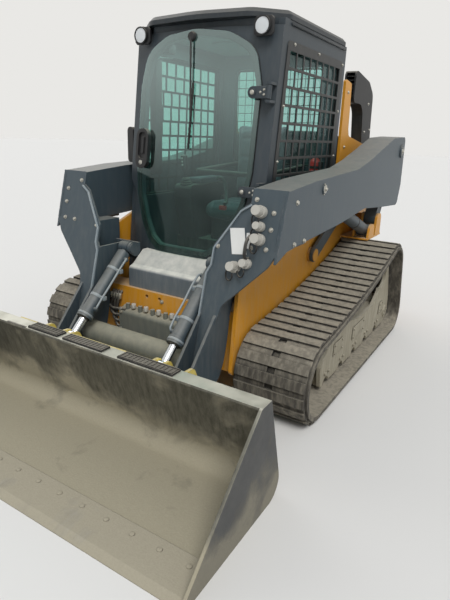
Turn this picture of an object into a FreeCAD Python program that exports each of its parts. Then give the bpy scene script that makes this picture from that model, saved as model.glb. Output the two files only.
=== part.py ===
import FreeCAD, Part
import math
import os

from FreeCAD import Rotation, Vector

# Compact track loader with vertical-lift arms and a low bucket, in millimetres.
# The front is -Y, the machine's left is +X, +Z is up and the ground is z = 0.
# Places on the centre plane or on a side are written as (y, z).

# Whole machine
BUCKET_TIP_Y = -1890.0
REAR_Y = 1890.0

# Main frame, the value from which every width to the side is stacked
SIDE_OUT = 545.0
SIDE_THICK = 22.0
SIDE_IN = SIDE_OUT - SIDE_THICK

# Rubber tracks
TRACK_GAP = 5.0
TRACK_WIDTH = 450.0
TRACK_INNER = SIDE_OUT + TRACK_GAP
TRACK_OUTER = TRACK_INNER + TRACK_WIDTH
TRACK_MIDDLE = (TRACK_INNER + TRACK_OUTER) / 2
BELT_THICKNESS = 24.0
LUG_HEIGHT = 24.0
LUG_LENGTH = 57.0
LUG_PITCH = 86.0
LUG_EDGE = 14.0
CENTRE_HOLE = 46.0
BAR_RELIEF = 11.0
LUG_ROOT = 6.0
BELT_STACK = BELT_THICKNESS + LUG_HEIGHT
TOP_RUN_SAG = 38.0
FRONT_IDLER_R = 202.0
REAR_IDLER_R = 130.0
SPROCKET_R = 205.0
FRONT_IDLER = (-490.0, FRONT_IDLER_R + BELT_STACK)
REAR_IDLER = (1172.0, REAR_IDLER_R + BELT_STACK)
SPROCKET = (960.0, 541.0)
WHEEL_FIT = 0.4
RIM_FIT = 2.0
ROLLER_R = 78.0
ROLLER_COUNT = 5
ROLLER_WIDTH = 220.0
ROLLER_SHAFT_R = 34.0
ROLLER_END_GAP = 42.0
SPROCKET_TEETH = 15
TRACK_FRAME_OUT = TRACK_OUTER - 95.0
TRACK_FRAME_IN = TRACK_INNER + 140.0
TRACK_FRAME_PLATE = 24.0
BEAM_BOTTOM = 222.0
BEAM_TOP = 318.0
AXLE_R = 36.0

FRAME_BOTTOM = 235.0
FRAME_FRONT = -676.0
FRAME_TOP = 1040.0
BELLY_THICK = 16.0
BRACKET_Z = 800.0
BRACKET_SHELF = 12.0
CROSSMEMBER_TOP = 607.0
COWL_Y = 905.0
COWL_THICK = 20.0
COWL_BOTTOM = 900.0
COWL_TOP = 1551.0

# Lift linkage, as (y, z) of each pin with the arms down
PIN_REAR_LOW = (1162.0, 931.0)
PIN_REAR_TOP = (1506.0, 1458.0)
PIN_CONTROL_LOW = (289.0, 769.0)
PIN_CONTROL_TOP = (1353.0, 1328.0)
PIN_LIFT_BASE = (989.0, 864.0)
PIN_LIFT_ROD = (-196.0, 1268.0)
PIN_BUCKET = (-1055.0, 250.0)
PIN_TILT_BASE = (-598.0, 838.0)
PIN_TILT_ROD = (-1086.0, 386.0)
PIN_R = 30.0
PIN_FIT = 0.05
FACE_GAP = 0.3
HEAD_R = 44.0
HEAD_THICK = 12.0

# Lift arms
CONTROL_LINK_IN = SIDE_OUT + 17.0
CONTROL_LINK_THICK = 20.0
ARM_IN = CONTROL_LINK_IN + CONTROL_LINK_THICK + 8.0
ARM_WIDTH = 195.0
ARM_OUT = ARM_IN + ARM_WIDTH
ARM_PLATE = 14.0
CHANNEL_IN = ARM_IN + ARM_PLATE
CHANNEL_OUT = ARM_OUT - ARM_PLATE
LINK_WIDTH = 90.0
LINK_IN = CHANNEL_IN + 51.0
LINK_OUT = LINK_IN + LINK_WIDTH
LINK_MID = (LINK_IN + LINK_OUT) / 2
EAR_THICK = 18.0
FOOT_WIDTH = 108.0
FOOT_OUT = ARM_IN - 90.0
FOOT_IN = FOOT_OUT - FOOT_WIDTH
FOOT_PLATE = 16.0
FOOT_BOSS_R = 64.0
WALL_TOP = (-668.0, 1286.0)
WALL_SLOPE = 0.27
WALL_THICK = 14.0
CROSS_TUBE = (-885.0, 348.0)
CROSS_TUBE_R = 72.0

# Cylinders
LIFT_BARREL_R = 45.0
LIFT_ROD_R = 26.0
LIFT_ROD_SHOWING = 127.0
LIFT_ROD_START = 105.0
LIFT_BARREL_LENGTH = math.dist(PIN_LIFT_BASE, PIN_LIFT_ROD) - LIFT_ROD_SHOWING
TILT_X = FOOT_IN - 57.0
TILT_BARREL_R = 41.0
TILT_ROD_R = 23.0
TILT_ROD_SHOWING = 135.0
TILT_ROD_START = 230.0
TILT_BARREL_LENGTH = math.dist(PIN_TILT_BASE, PIN_TILT_ROD) - TILT_ROD_SHOWING
TILT_EYE_WIDTH = 48.0
ROD_FIT = 0.05
LIFT_EYE_R = 46.0
TILT_EYE_R = 38.0
ROD_EYE_R = 36.0

# Bucket and coupler
BUCKET_HALF = 1067.0
BUCKET_SIDE = 14.0
BUCKET_PLATE = 12.0
BUCKET_HEEL = (-1140.0, 0.0)
BUCKET_TOP = (-1302.0, 540.0)
HEEL_RADIUS = 90.0
TOP_FLANGE = 82.0
EDGE_DEPTH = 205.0
EDGE_THICK = 20.0
COUPLER_HALF = FOOT_OUT + 48.0
COUPLER_PLATE = 16.0
COUPLER_EAR = 18.0
EAR_FOOT_GAP = 6.0

# Cab
CAB_HALF = SIDE_OUT - 45.0
CAB_WALL = 36.0
CAB_FRONT_LOW = (-429.0, 830.0)
CAB_FRONT_TOP = (-278.0, 2085.0)
CAB_REAR = 735.0
CAB_FLOOR = 600.0
CAB_SILL = 1085.0
CAB_ROOF_Z = 2136.0
ROOF_THICK = 46.0
GLASS_RADIUS = 1700.0
GLASS_THICK = 8.0
SEAL_THICK = 10.0
BEZEL_THICK = 30.0
SIDE_GLASS = 6.0
SCREEN_THICK = 5.0
SCREEN_ROWS = 9
SCREEN_PITCH = 92.0
SILL_HALF = 282.0
DOOR_HINGE_X = CAB_HALF - 16.0
HINGE_OUT = 45.0
HINGE_HEIGHTS = (1235.0, 1760.0)
HINGE_PIN_R = 7.0
MIRROR = (-300.0, 1452.0)
LATCH = (-352.0, 1438.0)

# Engine bay
PANEL_HALF = SIDE_OUT - 47.0
HOOD_HALF = 366.0
HOOD_FRONT_Y = 770.0
HOOD_FRONT_Z = 1560.0
HOOD_REAR_Z = 1440.0
PANEL_THICK = 20.0
REAR_DOOR_THICK = 60.0
REAR_DOOR_BOTTOM = 520.0
REAR_HINGE = (-PANEL_HALF - 14.0, 1836.0)
REAR_HINGE_HEIGHTS = (720.0, 1240.0)
HOOD_HINGE = (912.0, 1572.0)


def v(x, y, z):
    """A point in space."""
    return Vector(x, y, z)


def box(x0, x1, y0, y1, z0, z1):
    """A box between two corners."""
    return Part.makeBox(x1 - x0, y1 - y0, z1 - z0, v(x0, y0, z0))


def rod(start, end, radius):
    """A round bar between two points in space."""
    a = v(*start)
    axis = v(*end) - a
    return Part.makeCylinder(radius, axis.Length, a, axis)


def pin(place, x0, x1, radius):
    """A round bar along X at a (y, z) place."""
    return rod((x0, place[0], place[1]), (x1, place[0], place[1]), radius)


def outline(points):
    """A closed list of edges through (a, b) or (a, b, radius) corners, rounded where a radius is given."""
    corners = [(Vector(p[0], p[1], 0), p[2] if len(p) > 2 else 0.0) for p in points]
    count = len(corners)
    cuts = []
    for i, (corner, radius) in enumerate(corners):
        to_last = corners[i - 1][0] - corner
        to_next = corners[(i + 1) % count][0] - corner
        if radius <= 0:
            cuts.append((corner, corner, None))
            continue
        to_last.normalize()
        to_next.normalize()
        half = to_last.getAngle(to_next) / 2
        reach = radius / math.tan(half)
        middle = to_last + to_next
        middle.normalize()
        apex = corner + middle * (radius / math.sin(half) - radius)
        cuts.append((corner + to_last * reach, corner + to_next * reach, apex))
    edges = []
    for i, (start, end, apex) in enumerate(cuts):
        if apex is not None:
            edges.append(Part.Arc(start, apex, end).toShape())
        following = cuts[(i + 1) % count][0]
        if (following - end).Length > 1e-6:
            edges.append(Part.LineSegment(end, following).toShape())
    return edges


def prism(points, low, high, plane):
    """A rounded polygon pushed between two levels. The plane is yz, xz or xy."""
    face = Part.Face(Part.Wire(outline(points)))
    solid = face.extrude(Vector(0, 0, high - low))
    if plane == "yz":
        solid.rotate(v(0, 0, 0), v(1, 1, 1), 120)
        solid.translate(v(low, 0, 0))
    elif plane == "xz":
        solid.rotate(v(0, 0, 0), v(1, 0, 0), 90)
        solid.translate(v(0, high, 0))
    else:
        solid.translate(v(0, 0, low))
    return solid


def plate(points, x0, x1):
    """A side plate: a (y, z) outline between two x values."""
    return prism(points, x0, x1, "yz")


def fuse(shapes):
    """Several shapes as one."""
    first = shapes[0]
    rest = shapes[1:]
    return first.multiFuse(rest).removeSplitter() if rest else first


def cut(shape, tools):
    """A shape less its tools."""
    return shape.cut(Part.makeCompound(tools)) if tools else shape


def mirror(shape):
    """The same shape on the other side of the machine."""
    return shape.mirror(v(0, 0, 0), v(1, 0, 0))


def both(shape):
    """A shape and its mirror image."""
    return [shape, mirror(shape)]


def ear(places, radius, x0, x1):
    """A plate of round ends and straight sides over two or more (y, z) places with one radius each."""
    discs = [pin(place, x0, x1, r) for place, r in zip(places, radius)]
    webs = []
    for (a, ra), (b, rb) in zip(zip(places, radius), list(zip(places, radius))[1:]):
        webs.append(plate(tangent_quad(a, ra, b, rb), x0, x1))
    return fuse(discs + webs)


def tangent_quad(a, ra, b, rb):
    """The four points where the outer tangents of two circles touch them."""
    dy = b[0] - a[0]
    dz = b[1] - a[1]
    span = math.hypot(dy, dz)
    heading = math.atan2(dz, dy)
    lean = math.acos((ra - rb) / span)
    points = []
    for centre, r, side in ((a, ra, 1), (b, rb, 1), (b, rb, -1), (a, ra, -1)):
        angle = heading + side * lean
        points.append((centre[0] + r * math.cos(angle), centre[1] + r * math.sin(angle)))
    return points


def along(a, b, distance):
    """The (y, z) place at a distance from a towards b."""
    span = math.hypot(b[0] - a[0], b[1] - a[1])
    return (a[0] + (b[0] - a[0]) * distance / span, a[1] + (b[1] - a[1]) * distance / span)


def distance(a, b):
    """The length between two (y, z) places."""
    return math.hypot(b[0] - a[0], b[1] - a[1])


def wall_y(z):
    """Where the arms' leaning front wall stands at a height."""
    return WALL_TOP[0] - (WALL_TOP[1] - z) * WALL_SLOPE


def front_y(z):
    """Where the leaning cab front stands at a height, on the side posts."""
    low, top = CAB_FRONT_LOW, CAB_FRONT_TOP
    return low[0] + (top[0] - low[0]) * (z - low[1]) / (top[1] - low[1])


def loop_edges(offset, sag):
    """The belt's path round the idlers and the sprocket, at an offset from the wheels."""
    wheels = [(FRONT_IDLER, FRONT_IDLER_R), (REAR_IDLER, REAR_IDLER_R), (SPROCKET, SPROCKET_R)]
    runs = []
    for i, (centre, radius) in enumerate(wheels):
        following, next_radius = wheels[(i + 1) % len(wheels)]
        quad = tangent_quad(centre, radius + offset, following, next_radius + offset)
        runs.append((quad[3], quad[2]))
    edges = []
    for i, (start, end) in enumerate(runs):
        centre, radius = wheels[i]
        arrive = runs[i - 1][1]
        middle = ((arrive[0] + start[0]) / 2 - centre[0], (arrive[1] + start[1]) / 2 - centre[1])
        turn = math.atan2(middle[1], middle[0])
        if cross_turn(centre, arrive, start) > math.pi:
            turn += math.pi
        reach = radius + offset
        apex = (centre[0] + reach * math.cos(turn), centre[1] + reach * math.sin(turn))
        edges.append(Part.Arc(v(*arrive, 0), v(*apex, 0), v(*start, 0)).toShape())
        if i == 2 and sag:
            low = v((start[0] + end[0]) / 2, (start[1] + end[1]) / 2 - TOP_RUN_SAG, 0)
            edges.append(Part.Arc(v(*start, 0), low, v(*end, 0)).toShape())
        else:
            edges.append(Part.LineSegment(v(*start, 0), v(*end, 0)).toShape())
    return edges


def cross_turn(centre, start, end):
    """The angle turned from start to end about a centre, the way the belt runs."""
    a = math.atan2(start[1] - centre[1], start[0] - centre[0])
    b = math.atan2(end[1] - centre[1], end[0] - centre[0])
    return (b - a) % (2 * math.pi)


def stand(solid, x):
    """Turn what was drawn flat in (y, z) upright and set it at an x."""
    solid.rotate(v(0, 0, 0), v(1, 1, 1), 120)
    solid.translate(v(x, 0, 0))
    return solid


def belt_ring(low, high, x0, x1):
    """A band of the belt between two depths and two x values."""
    ring = Part.Face(Part.Wire(loop_edges(high, True))).cut(Part.Face(Part.Wire(loop_edges(low, True))))
    return stand(ring.extrude(Vector(0, 0, x1 - x0)), x0)


def track():
    """The left rubber track: a belt with a shallow tread band on each half, and bars across its whole width."""
    band_top = BELT_THICKNESS + LUG_HEIGHT - BAR_RELIEF
    inside = (TRACK_INNER + LUG_EDGE, TRACK_MIDDLE - CENTRE_HOLE / 2)
    outside = (TRACK_MIDDLE + CENTRE_HOLE / 2, TRACK_OUTER - LUG_EDGE)
    bands = [belt_ring(BELT_THICKNESS / 2, band_top, x0, x1) for x0, x1 in (inside, outside)]
    path = loop_edges(BELT_THICKNESS, True)
    total = sum(edge.Length for edge in path)
    count = int(round(total / LUG_PITCH))
    width = TRACK_WIDTH - 2 * LUG_EDGE
    bars = []
    for index in range(count):
        place, heading = on_path(path, index * total / count)
        bar = Part.makeBox(width, LUG_LENGTH, LUG_HEIGHT + LUG_ROOT, v(0, -LUG_LENGTH / 2, -LUG_ROOT))
        bar.rotate(v(0, 0, 0), v(1, 0, 0), math.degrees(heading) + 180)
        bar.translate(v(TRACK_INNER + LUG_EDGE, place[0], place[1]))
        bars.append(bar)
    return belt_ring(0.0, BELT_THICKNESS, TRACK_INNER, TRACK_OUTER).multiFuse(bands + bars)


def on_path(path, travelled):
    """The (y, z) place and heading at a distance travelled along the belt."""
    for edge in path:
        if travelled <= edge.Length + 1e-6:
            where = edge.getParameterByLength(min(travelled, edge.Length))
            point = edge.valueAt(where)
            ahead = edge.tangentAt(where)
            return (point.x, point.y), math.atan2(ahead.y, ahead.x)
        travelled -= edge.Length
    return on_path(path, 0.0)


def track_wheel(place, radius, flange):
    """A spoked idler: a rim, a web with round windows and a bored hub."""
    middle = TRACK_MIDDLE
    rim = pin(place, middle - 60, middle + 60, radius)
    rim = cut(rim, [pin(place, middle + 14, middle + 60, radius - flange),
                    pin(place, middle - 60, middle - 14, radius - flange)])
    windows = []
    for index in range(6 if radius > 2 * flange + 3 * AXLE_R else 0):
        angle = math.radians(60 * index)
        where = (place[0] + radius * 0.56 * math.cos(angle), place[1] + radius * 0.56 * math.sin(angle))
        windows.append(pin(where, middle - 20, middle + 20, radius * 0.17))
    hub = pin(place, middle - 68, middle + 68, max(radius * 0.30, AXLE_R + 16))
    bore = pin(place, middle - 70, middle + 70, AXLE_R + PIN_FIT)
    return cut(fuse([cut(rim, windows), hub]), [bore])


def sprocket():
    """The left drive sprocket, with its teeth cut round the rim, and its bolted hub."""
    middle = TRACK_MIDDLE
    radius = SPROCKET_R - RIM_FIT
    wheel = pin(SPROCKET, middle - 22, middle + 22, radius)
    notches = []
    for index in range(SPROCKET_TEETH):
        angle = 2 * math.pi * index / SPROCKET_TEETH
        where = (SPROCKET[0] + radius * math.cos(angle), SPROCKET[1] + radius * math.sin(angle))
        notches.append(pin(where, middle - 30, middle + 30, 26))
    return cut(wheel, notches)


def roller_places():
    """The (y, z) places of the bottom rollers, between the idlers."""
    first = FRONT_IDLER[0] + FRONT_IDLER_R + ROLLER_R + ROLLER_END_GAP
    last = REAR_IDLER[0] - REAR_IDLER_R - ROLLER_R - ROLLER_END_GAP
    step = (last - first) / (ROLLER_COUNT - 1)
    return [(first + index * step, BELT_STACK + ROLLER_R + WHEEL_FIT) for index in range(ROLLER_COUNT)]


def track_rollers():
    """The bottom rollers of the left side, each a pair of drums on its shaft."""
    middle = TRACK_MIDDLE
    rollers = []
    for place in roller_places():
        drum = pin(place, middle - ROLLER_WIDTH / 2, middle - 30, ROLLER_R)
        other = pin(place, middle + 30, middle + ROLLER_WIDTH / 2 - 6, ROLLER_R)
        shaft = pin(place, middle - ROLLER_WIDTH / 2 - 14, TRACK_FRAME_OUT - TRACK_FRAME_PLATE, ROLLER_SHAFT_R)
        rollers.append(fuse([drum, other, shaft]))
    return rollers


def undercarriage():
    """The left track frame: an outer guard open at the sprocket, a boxed beam, idler forks and two mounting arms."""
    bottom = BELT_STACK + 34
    skin_in = TRACK_FRAME_OUT - TRACK_FRAME_PLATE
    guard = plate([(-262, bottom, 10), (1170, bottom, 60), (1268, 150, 50), (1262, 250, 60), (1150, 520, 80),
                   (1102, 640, 30), (1000, 650, 24), (975, 541), (890, 404, 60), (770, 338, 60), (455, 334, 100),
                   (60, 400, 80), (-150, 352, 60), (-292, 222, 40)], skin_in, TRACK_FRAME_OUT)
    guard = cut(guard, [pin((y, bottom - 12), skin_in - 5, TRACK_FRAME_OUT + 5, 50) for y, _ in roller_places()])
    beam = plate([(-274, BEAM_BOTTOM), (895, BEAM_BOTTOM), (895, BEAM_TOP), (-60, BEAM_TOP), (-274, 276)],
                 TRACK_FRAME_IN, skin_in)
    arms = [box(SIDE_OUT, skin_in, y, y + 140, BEAM_BOTTOM + 16, BEAM_TOP - 2) for y in (330, -20)]
    forks = []
    for x0, x1 in ((TRACK_FRAME_IN - 16, TRACK_FRAME_IN), (TRACK_MIDDLE + 90, skin_in)):
        forks.append(ear([FRONT_IDLER, (-250, 256)], [AXLE_R + 4, 34], x0, x1))
        forks.append(ear([(870, 268), REAR_IDLER], [44, AXLE_R + 4], x0, x1))
    axles = [pin(place, TRACK_FRAME_IN - 16, skin_in, AXLE_R) for place in (FRONT_IDLER, REAR_IDLER)]
    clear = [pin(SPROCKET, SIDE_OUT + 200, skin_in - 70, SPROCKET_R + 10),
             pin(SPROCKET, skin_in - 2, TRACK_FRAME_OUT + 5, 112)]
    return fuse([cut(fuse([guard, beam]), clear)] + arms + forks + axles)


def drive_motor():
    """The left final drive, from the frame's side through the sprocket to its stepped cover."""
    middle = TRACK_MIDDLE
    inner = pin(SPROCKET, SIDE_OUT, middle - 22, 105)
    outer = [pin(SPROCKET, middle + 22, middle + 72, 96), pin(SPROCKET, middle + 72, middle + 104, 64),
             pin(SPROCKET, middle + 104, middle + 112, 26)]
    return [inner, fuse(outer)]


def frame_side():
    """The left side plate of the main frame with its link brackets over the track."""
    side = plate([(FRAME_FRONT - 52, 334, 30), (FRAME_FRONT - 58, 262, 30), (FRAME_FRONT - 20, FRAME_BOTTOM, 20),
                  (1700, FRAME_BOTTOM, 60), (1800, 330, 40), (1800, 1000, 60), (1420, FRAME_TOP, 60),
                  (-250, FRAME_TOP, 60), (FRAME_FRONT + 50, 900, 80), (FRAME_FRONT - 16, 730, 60)],
                 SIDE_IN, SIDE_OUT)
    low = BRACKET_Z + BRACKET_SHELF
    shelf = box(SIDE_OUT, LINK_OUT + EAR_THICK + 3, PIN_LIFT_BASE[0] - 90, PIN_REAR_LOW[0] + 90, BRACKET_Z, low)
    pieces = [side, shelf]
    for x0 in (LINK_IN - EAR_THICK - 3, LINK_OUT + 3):
        for place in (PIN_LIFT_BASE, PIN_REAR_LOW):
            lug = plate([(place[0] - 72, low), (place[0] + 72, low), (place[0] + 52, place[1] + 50, 44),
                         (place[0] - 52, place[1] + 50, 44)], x0, x0 + EAR_THICK)
            pieces.append(lug)
    rib = plate([(PIN_REAR_LOW[0] + 60, low), (PIN_REAR_LOW[0] + 76, low), (PIN_REAR_LOW[0] + 76, 960),
                 (PIN_REAR_LOW[0] + 60, 960)], SIDE_OUT, LINK_IN - EAR_THICK - 3)
    pieces.append(rib)
    for place in (PIN_REAR_LOW, PIN_LIFT_BASE):
        pieces.append(pin(place, LINK_IN - EAR_THICK - 3, LINK_OUT + EAR_THICK + 3, PIN_R))
    cap_in = CONTROL_LINK_IN + CONTROL_LINK_THICK + 2
    pieces.append(pin(PIN_CONTROL_LOW, SIDE_OUT, CONTROL_LINK_IN - 4, 52))
    pieces.append(pin(PIN_CONTROL_LOW, SIDE_OUT, cap_in + 5, PIN_R))
    pieces.append(pin(PIN_CONTROL_LOW, cap_in, cap_in + 5, HEAD_R))
    return fuse(pieces)


def frame_cross():
    """The belly plate, the cross plates that join the two sides and the four cab mounts."""
    top = FRAME_BOTTOM + BELLY_THICK
    belly = box(-SIDE_IN, SIDE_IN, FRAME_FRONT + 8, 1700, FRAME_BOTTOM, top)
    front = box(-SIDE_IN, SIDE_IN, FRAME_FRONT + 8, FRAME_FRONT + 28, FRAME_BOTTOM, CROSSMEMBER_TOP)
    holes = [rod((x, FRAME_FRONT, 572), (x, FRAME_FRONT + 40, 572), 11) for x in (-120.0, -20.0)]
    ledge = box(-SIDE_IN, SIDE_IN, FRAME_FRONT + 28, FRAME_FRONT + 150, CROSSMEMBER_TOP - 16, CROSSMEMBER_TOP)
    rear = box(-SIDE_IN, SIDE_IN, 1640, 1664, top, 505)
    middle = box(-SIDE_IN, SIDE_IN, COWL_Y, COWL_Y + COWL_THICK, top, COWL_BOTTOM)
    mounts = [rod((x, y, top), (x, y, CAB_FLOOR - FACE_GAP), 42) for x in (-400, 400) for y in (-260, 600)]
    return fuse([belly, cut(front, holes), ledge, rear, middle] + mounts)


def cowl():
    """The bulkhead behind the cab, with the hood's hinge pin along its top."""
    half = PANEL_HALF - PANEL_THICK
    wall = box(-half, half, COWL_Y, COWL_Y + COWL_THICK, COWL_BOTTOM, COWL_TOP)
    lugs = both(box(336, 350, COWL_Y - 4, COWL_Y + COWL_THICK, COWL_TOP, HOOD_HINGE[1] + 13))
    return fuse([wall, pin(HOOD_HINGE, -350, 350, HINGE_PIN_R)] + lugs)


def rear_link():
    """The left rear link, a forged bar between two bosses."""
    link = ear([PIN_REAR_LOW, PIN_REAR_TOP], [52, 56], LINK_IN, LINK_OUT)
    waist = plate(tangent_quad(along(PIN_REAR_LOW, PIN_REAR_TOP, 110), 30,
                               along(PIN_REAR_TOP, PIN_REAR_LOW, 120), 32), LINK_IN, LINK_IN + 28)
    relief_in = waist
    relief_out = waist.copy()
    relief_out.translate(v(LINK_OUT - LINK_IN - 28, 0, 0))
    bores = [pin(place, LINK_IN - 5, LINK_OUT + 5, PIN_R + PIN_FIT) for place in (PIN_REAR_LOW, PIN_REAR_TOP)]
    return cut(link, bores + [relief_in, relief_out])


def control_link():
    """The left control link, a flat bar between the frame's side and the arm."""
    x0 = CONTROL_LINK_IN
    x1 = x0 + CONTROL_LINK_THICK
    link = ear([PIN_CONTROL_LOW, PIN_CONTROL_TOP], [50, 46], x0, x1)
    link = cut(link, [pin(PIN_CONTROL_LOW, x0 - 5, x1 + 5, PIN_R + PIN_FIT)])
    boss = pin(PIN_CONTROL_TOP, x1, ARM_IN - FACE_GAP, 40)
    return fuse([link, boss])


ARM_TOP_EDGE = [(WALL_TOP[0], WALL_TOP[1]), (-320, 1318), (390, 1352, 200), (620, 1396, 200), (1240, 1556, 60),
                (1600, 1572, 50)]
ARM_LOW_EDGE = [(1655, 1180, 60), (1610, 1010, 60), (1100, 1040, 120), (640, 1075, 150), (160, 1030, 150),
                (-420, 1000), (-640, 985)]


def arm():
    """The left lift arm: an outer and an inner plate under a top plate, a leaning front wall and a foot."""
    low_front = (wall_y(940), 940)
    side = ARM_TOP_EDGE + ARM_LOW_EDGE + [low_front]
    outer = plate(side, CHANNEL_OUT, ARM_OUT)
    inner = plate(side, ARM_IN, CHANNEL_IN)
    skin = [(-320, 1304), (392, 1338, 200), (622, 1382, 200), (1242, 1542, 60), (1560, 1557)]
    cover = plate([(WALL_TOP[0], WALL_TOP[1]), (-320, 1318), (390, 1352, 200), (620, 1396, 200), (1240, 1556, 60),
                   (1560, 1570.5)] + skin[::-1] + [(WALL_TOP[0] + 2, WALL_TOP[1] - 14)], CHANNEL_IN, CHANNEL_OUT)
    floor = box(CHANNEL_IN, CHANNEL_OUT, wall_y(985) + 6, -380, 985, 999)
    pieces = [outer, inner, cover, floor, front_wall(), foot()]
    for x0, x1 in ((LINK_IN - EAR_THICK, LINK_IN - FACE_GAP), (LINK_OUT + FACE_GAP, LINK_OUT + EAR_THICK)):
        high = PIN_LIFT_ROD[1] + 45
        hanger = plate([(PIN_LIFT_ROD[0] - 110, high), (PIN_LIFT_ROD[0] - 56, PIN_LIFT_ROD[1] - 44, 50),
                        (PIN_LIFT_ROD[0] + 56, PIN_LIFT_ROD[1] - 44, 50), (PIN_LIFT_ROD[0] + 110, high)], x0, x1)
        pieces.append(hanger)
    pieces.append(pin(PIN_LIFT_ROD, CHANNEL_IN, LINK_IN - EAR_THICK, PIN_R))
    pieces.append(pin(PIN_LIFT_ROD, LINK_OUT + EAR_THICK, ARM_OUT + HEAD_THICK / 2, PIN_R))
    pieces.append(pin(PIN_REAR_TOP, ARM_IN - 6, ARM_OUT + HEAD_THICK, PIN_R))
    pieces.append(pin(PIN_REAR_TOP, ARM_OUT, ARM_OUT + HEAD_THICK, HEAD_R + 8))
    pieces.append(pin(PIN_REAR_TOP, CHANNEL_IN, LINK_IN - 2, HEAD_R))
    pieces.append(pin(PIN_REAR_TOP, LINK_OUT + 2, CHANNEL_OUT, HEAD_R))
    return fuse(pieces + tilt_bracket())


def tilt_bracket():
    """The two ears for the tilt cylinder's base, on a cross plate behind the foot's side plates."""
    half = TILT_EYE_WIDTH / 2 + 3
    inner = TILT_X - half - EAR_THICK
    outer = TILT_X + half
    y, z = PIN_TILT_BASE
    ears = [ear([PIN_TILT_BASE, (y + 34, z - 16)], [36, 40], x0, x0 + EAR_THICK) for x0 in (inner, outer)]
    cross = box(inner, FOOT_OUT, y + 52, y + 72, z - 78, z + 28)
    shaft = [pin(PIN_TILT_BASE, inner - 6, outer + EAR_THICK + 6, PIN_R - 6),
             pin(PIN_TILT_BASE, inner - 6, inner, PIN_R)]
    return ears + [cross] + shaft


def front_wall():
    """The leaning wall at the arm's front, from the outer plate inwards and down to the foot."""
    inner = FOOT_IN + 22
    wall = prism([(ARM_OUT, WALL_TOP[1]), (ARM_OUT, 985), (ARM_OUT - 45, 900, 40), (FOOT_OUT + 136, 790, 60),
                  (FOOT_OUT + 20, 665, 60), (FOOT_OUT, 560), (FOOT_OUT, 330), (FOOT_IN, 330), (FOOT_IN, 840, 40),
                  (inner, 876, 20), (inner, 975, 30), (ARM_IN - 45, 1180, 30), (ARM_IN + 10, 1215, 20),
                  (ARM_IN + 10, WALL_TOP[1])], -WALL_THICK, 0, "xz")
    wall.rotate(v(0, 0, WALL_TOP[1]), v(1, 0, 0), -math.degrees(math.atan(WALL_SLOPE)))
    wall.translate(v(0, WALL_TOP[0] + WALL_THICK, 0))
    return wall


def foot_side(top):
    """The (y, z) outline of the foot's side plates, from a top level behind the wall down round the bucket pin."""
    y, z = PIN_BUCKET
    return [(-505, top), (-505, 800, 20), (-650, 716, 40), (-700, 600, 80), (-716, 460, 80), (-748, 330, 60),
            (-800, 238, 40), (y + 105, z - 14, 20), (y + 66, z - 54, 20), (y - 20, z - 62, 40), (y - 62, z, 40),
            (y - 30, z + 110, 60), (wall_y(640) + 2, 640, 60), (wall_y(top) + 8, top)]


def foot():
    """The foot below the wall: two side plates and a rear skin down to the bucket pin, with its pin."""
    plates = [plate(foot_side(862), FOOT_IN, FOOT_IN + FOOT_PLATE),
              plate(foot_side(999), FOOT_OUT - FOOT_PLATE, FOOT_OUT)]
    filled = plate(foot_side(862), FOOT_IN, FOOT_OUT)
    ahead = filled.copy()
    ahead.translate(v(0, -10, 4))
    skin = filled.cut(ahead).common(box(FOOT_IN, FOOT_OUT, -860, -600, 200, 712))
    boss = pin(PIN_BUCKET, FOOT_IN - EAR_FOOT_GAP + 2, FOOT_OUT + EAR_FOOT_GAP - 2, FOOT_BOSS_R - 8)
    low = TILT_X + TILT_EYE_WIDTH / 2 - 6
    high = FOOT_OUT + EAR_FOOT_GAP + COUPLER_EAR
    shaft = [pin(PIN_BUCKET, low, high + HEAD_THICK, PIN_R), pin(PIN_BUCKET, high + 2, high + HEAD_THICK, HEAD_R)]
    shelf = box(FOOT_OUT - FOOT_PLATE, ARM_IN + 4, -700, -505, 985, 999)
    return fuse(plates + skin.Solids + [boss, shelf] + shaft)


def barrel(base, tip, x, radius, length, bore, eye, pin_r):
    """A cylinder barrel from its base eye, a (radius, half width) pair, with a gland ring at its mouth."""
    eye_r, eye_half = eye
    mouth = along(base, tip, length)
    start = along(base, tip, eye_r + 8)
    ring = along(base, tip, length - 40)
    body = [rod((x, *start), (x, *mouth), radius), rod((x, *ring), (x, *mouth), radius + 6),
            rod((x, *base), (x, *along(base, tip, eye_r + 12)), min(eye_half, radius) - 2),
            pin(base, x - eye_half, x + eye_half, eye_r)]
    for place in (along(base, tip, 90), along(base, tip, length - 70)):
        body.append(rod((x, *place), (x - radius - 16, *place), 13))
    deep = along(base, tip, eye_r + 24)
    hole = rod((x, *deep), (x, *along(base, tip, length + 5)), bore)
    return cut(fuse(body), [hole, pin(base, x - eye_half - 5, x + eye_half + 5, pin_r + PIN_FIT)])


def piston_rod(base, tip, x, radius, start, eye_half):
    """A piston rod with its closed eye, from a distance past the barrel's base eye."""
    return fuse([rod((x, *along(base, tip, start)), (x, *tip), radius), pin(tip, x - eye_half, x + eye_half, ROD_EYE_R)])


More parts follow.
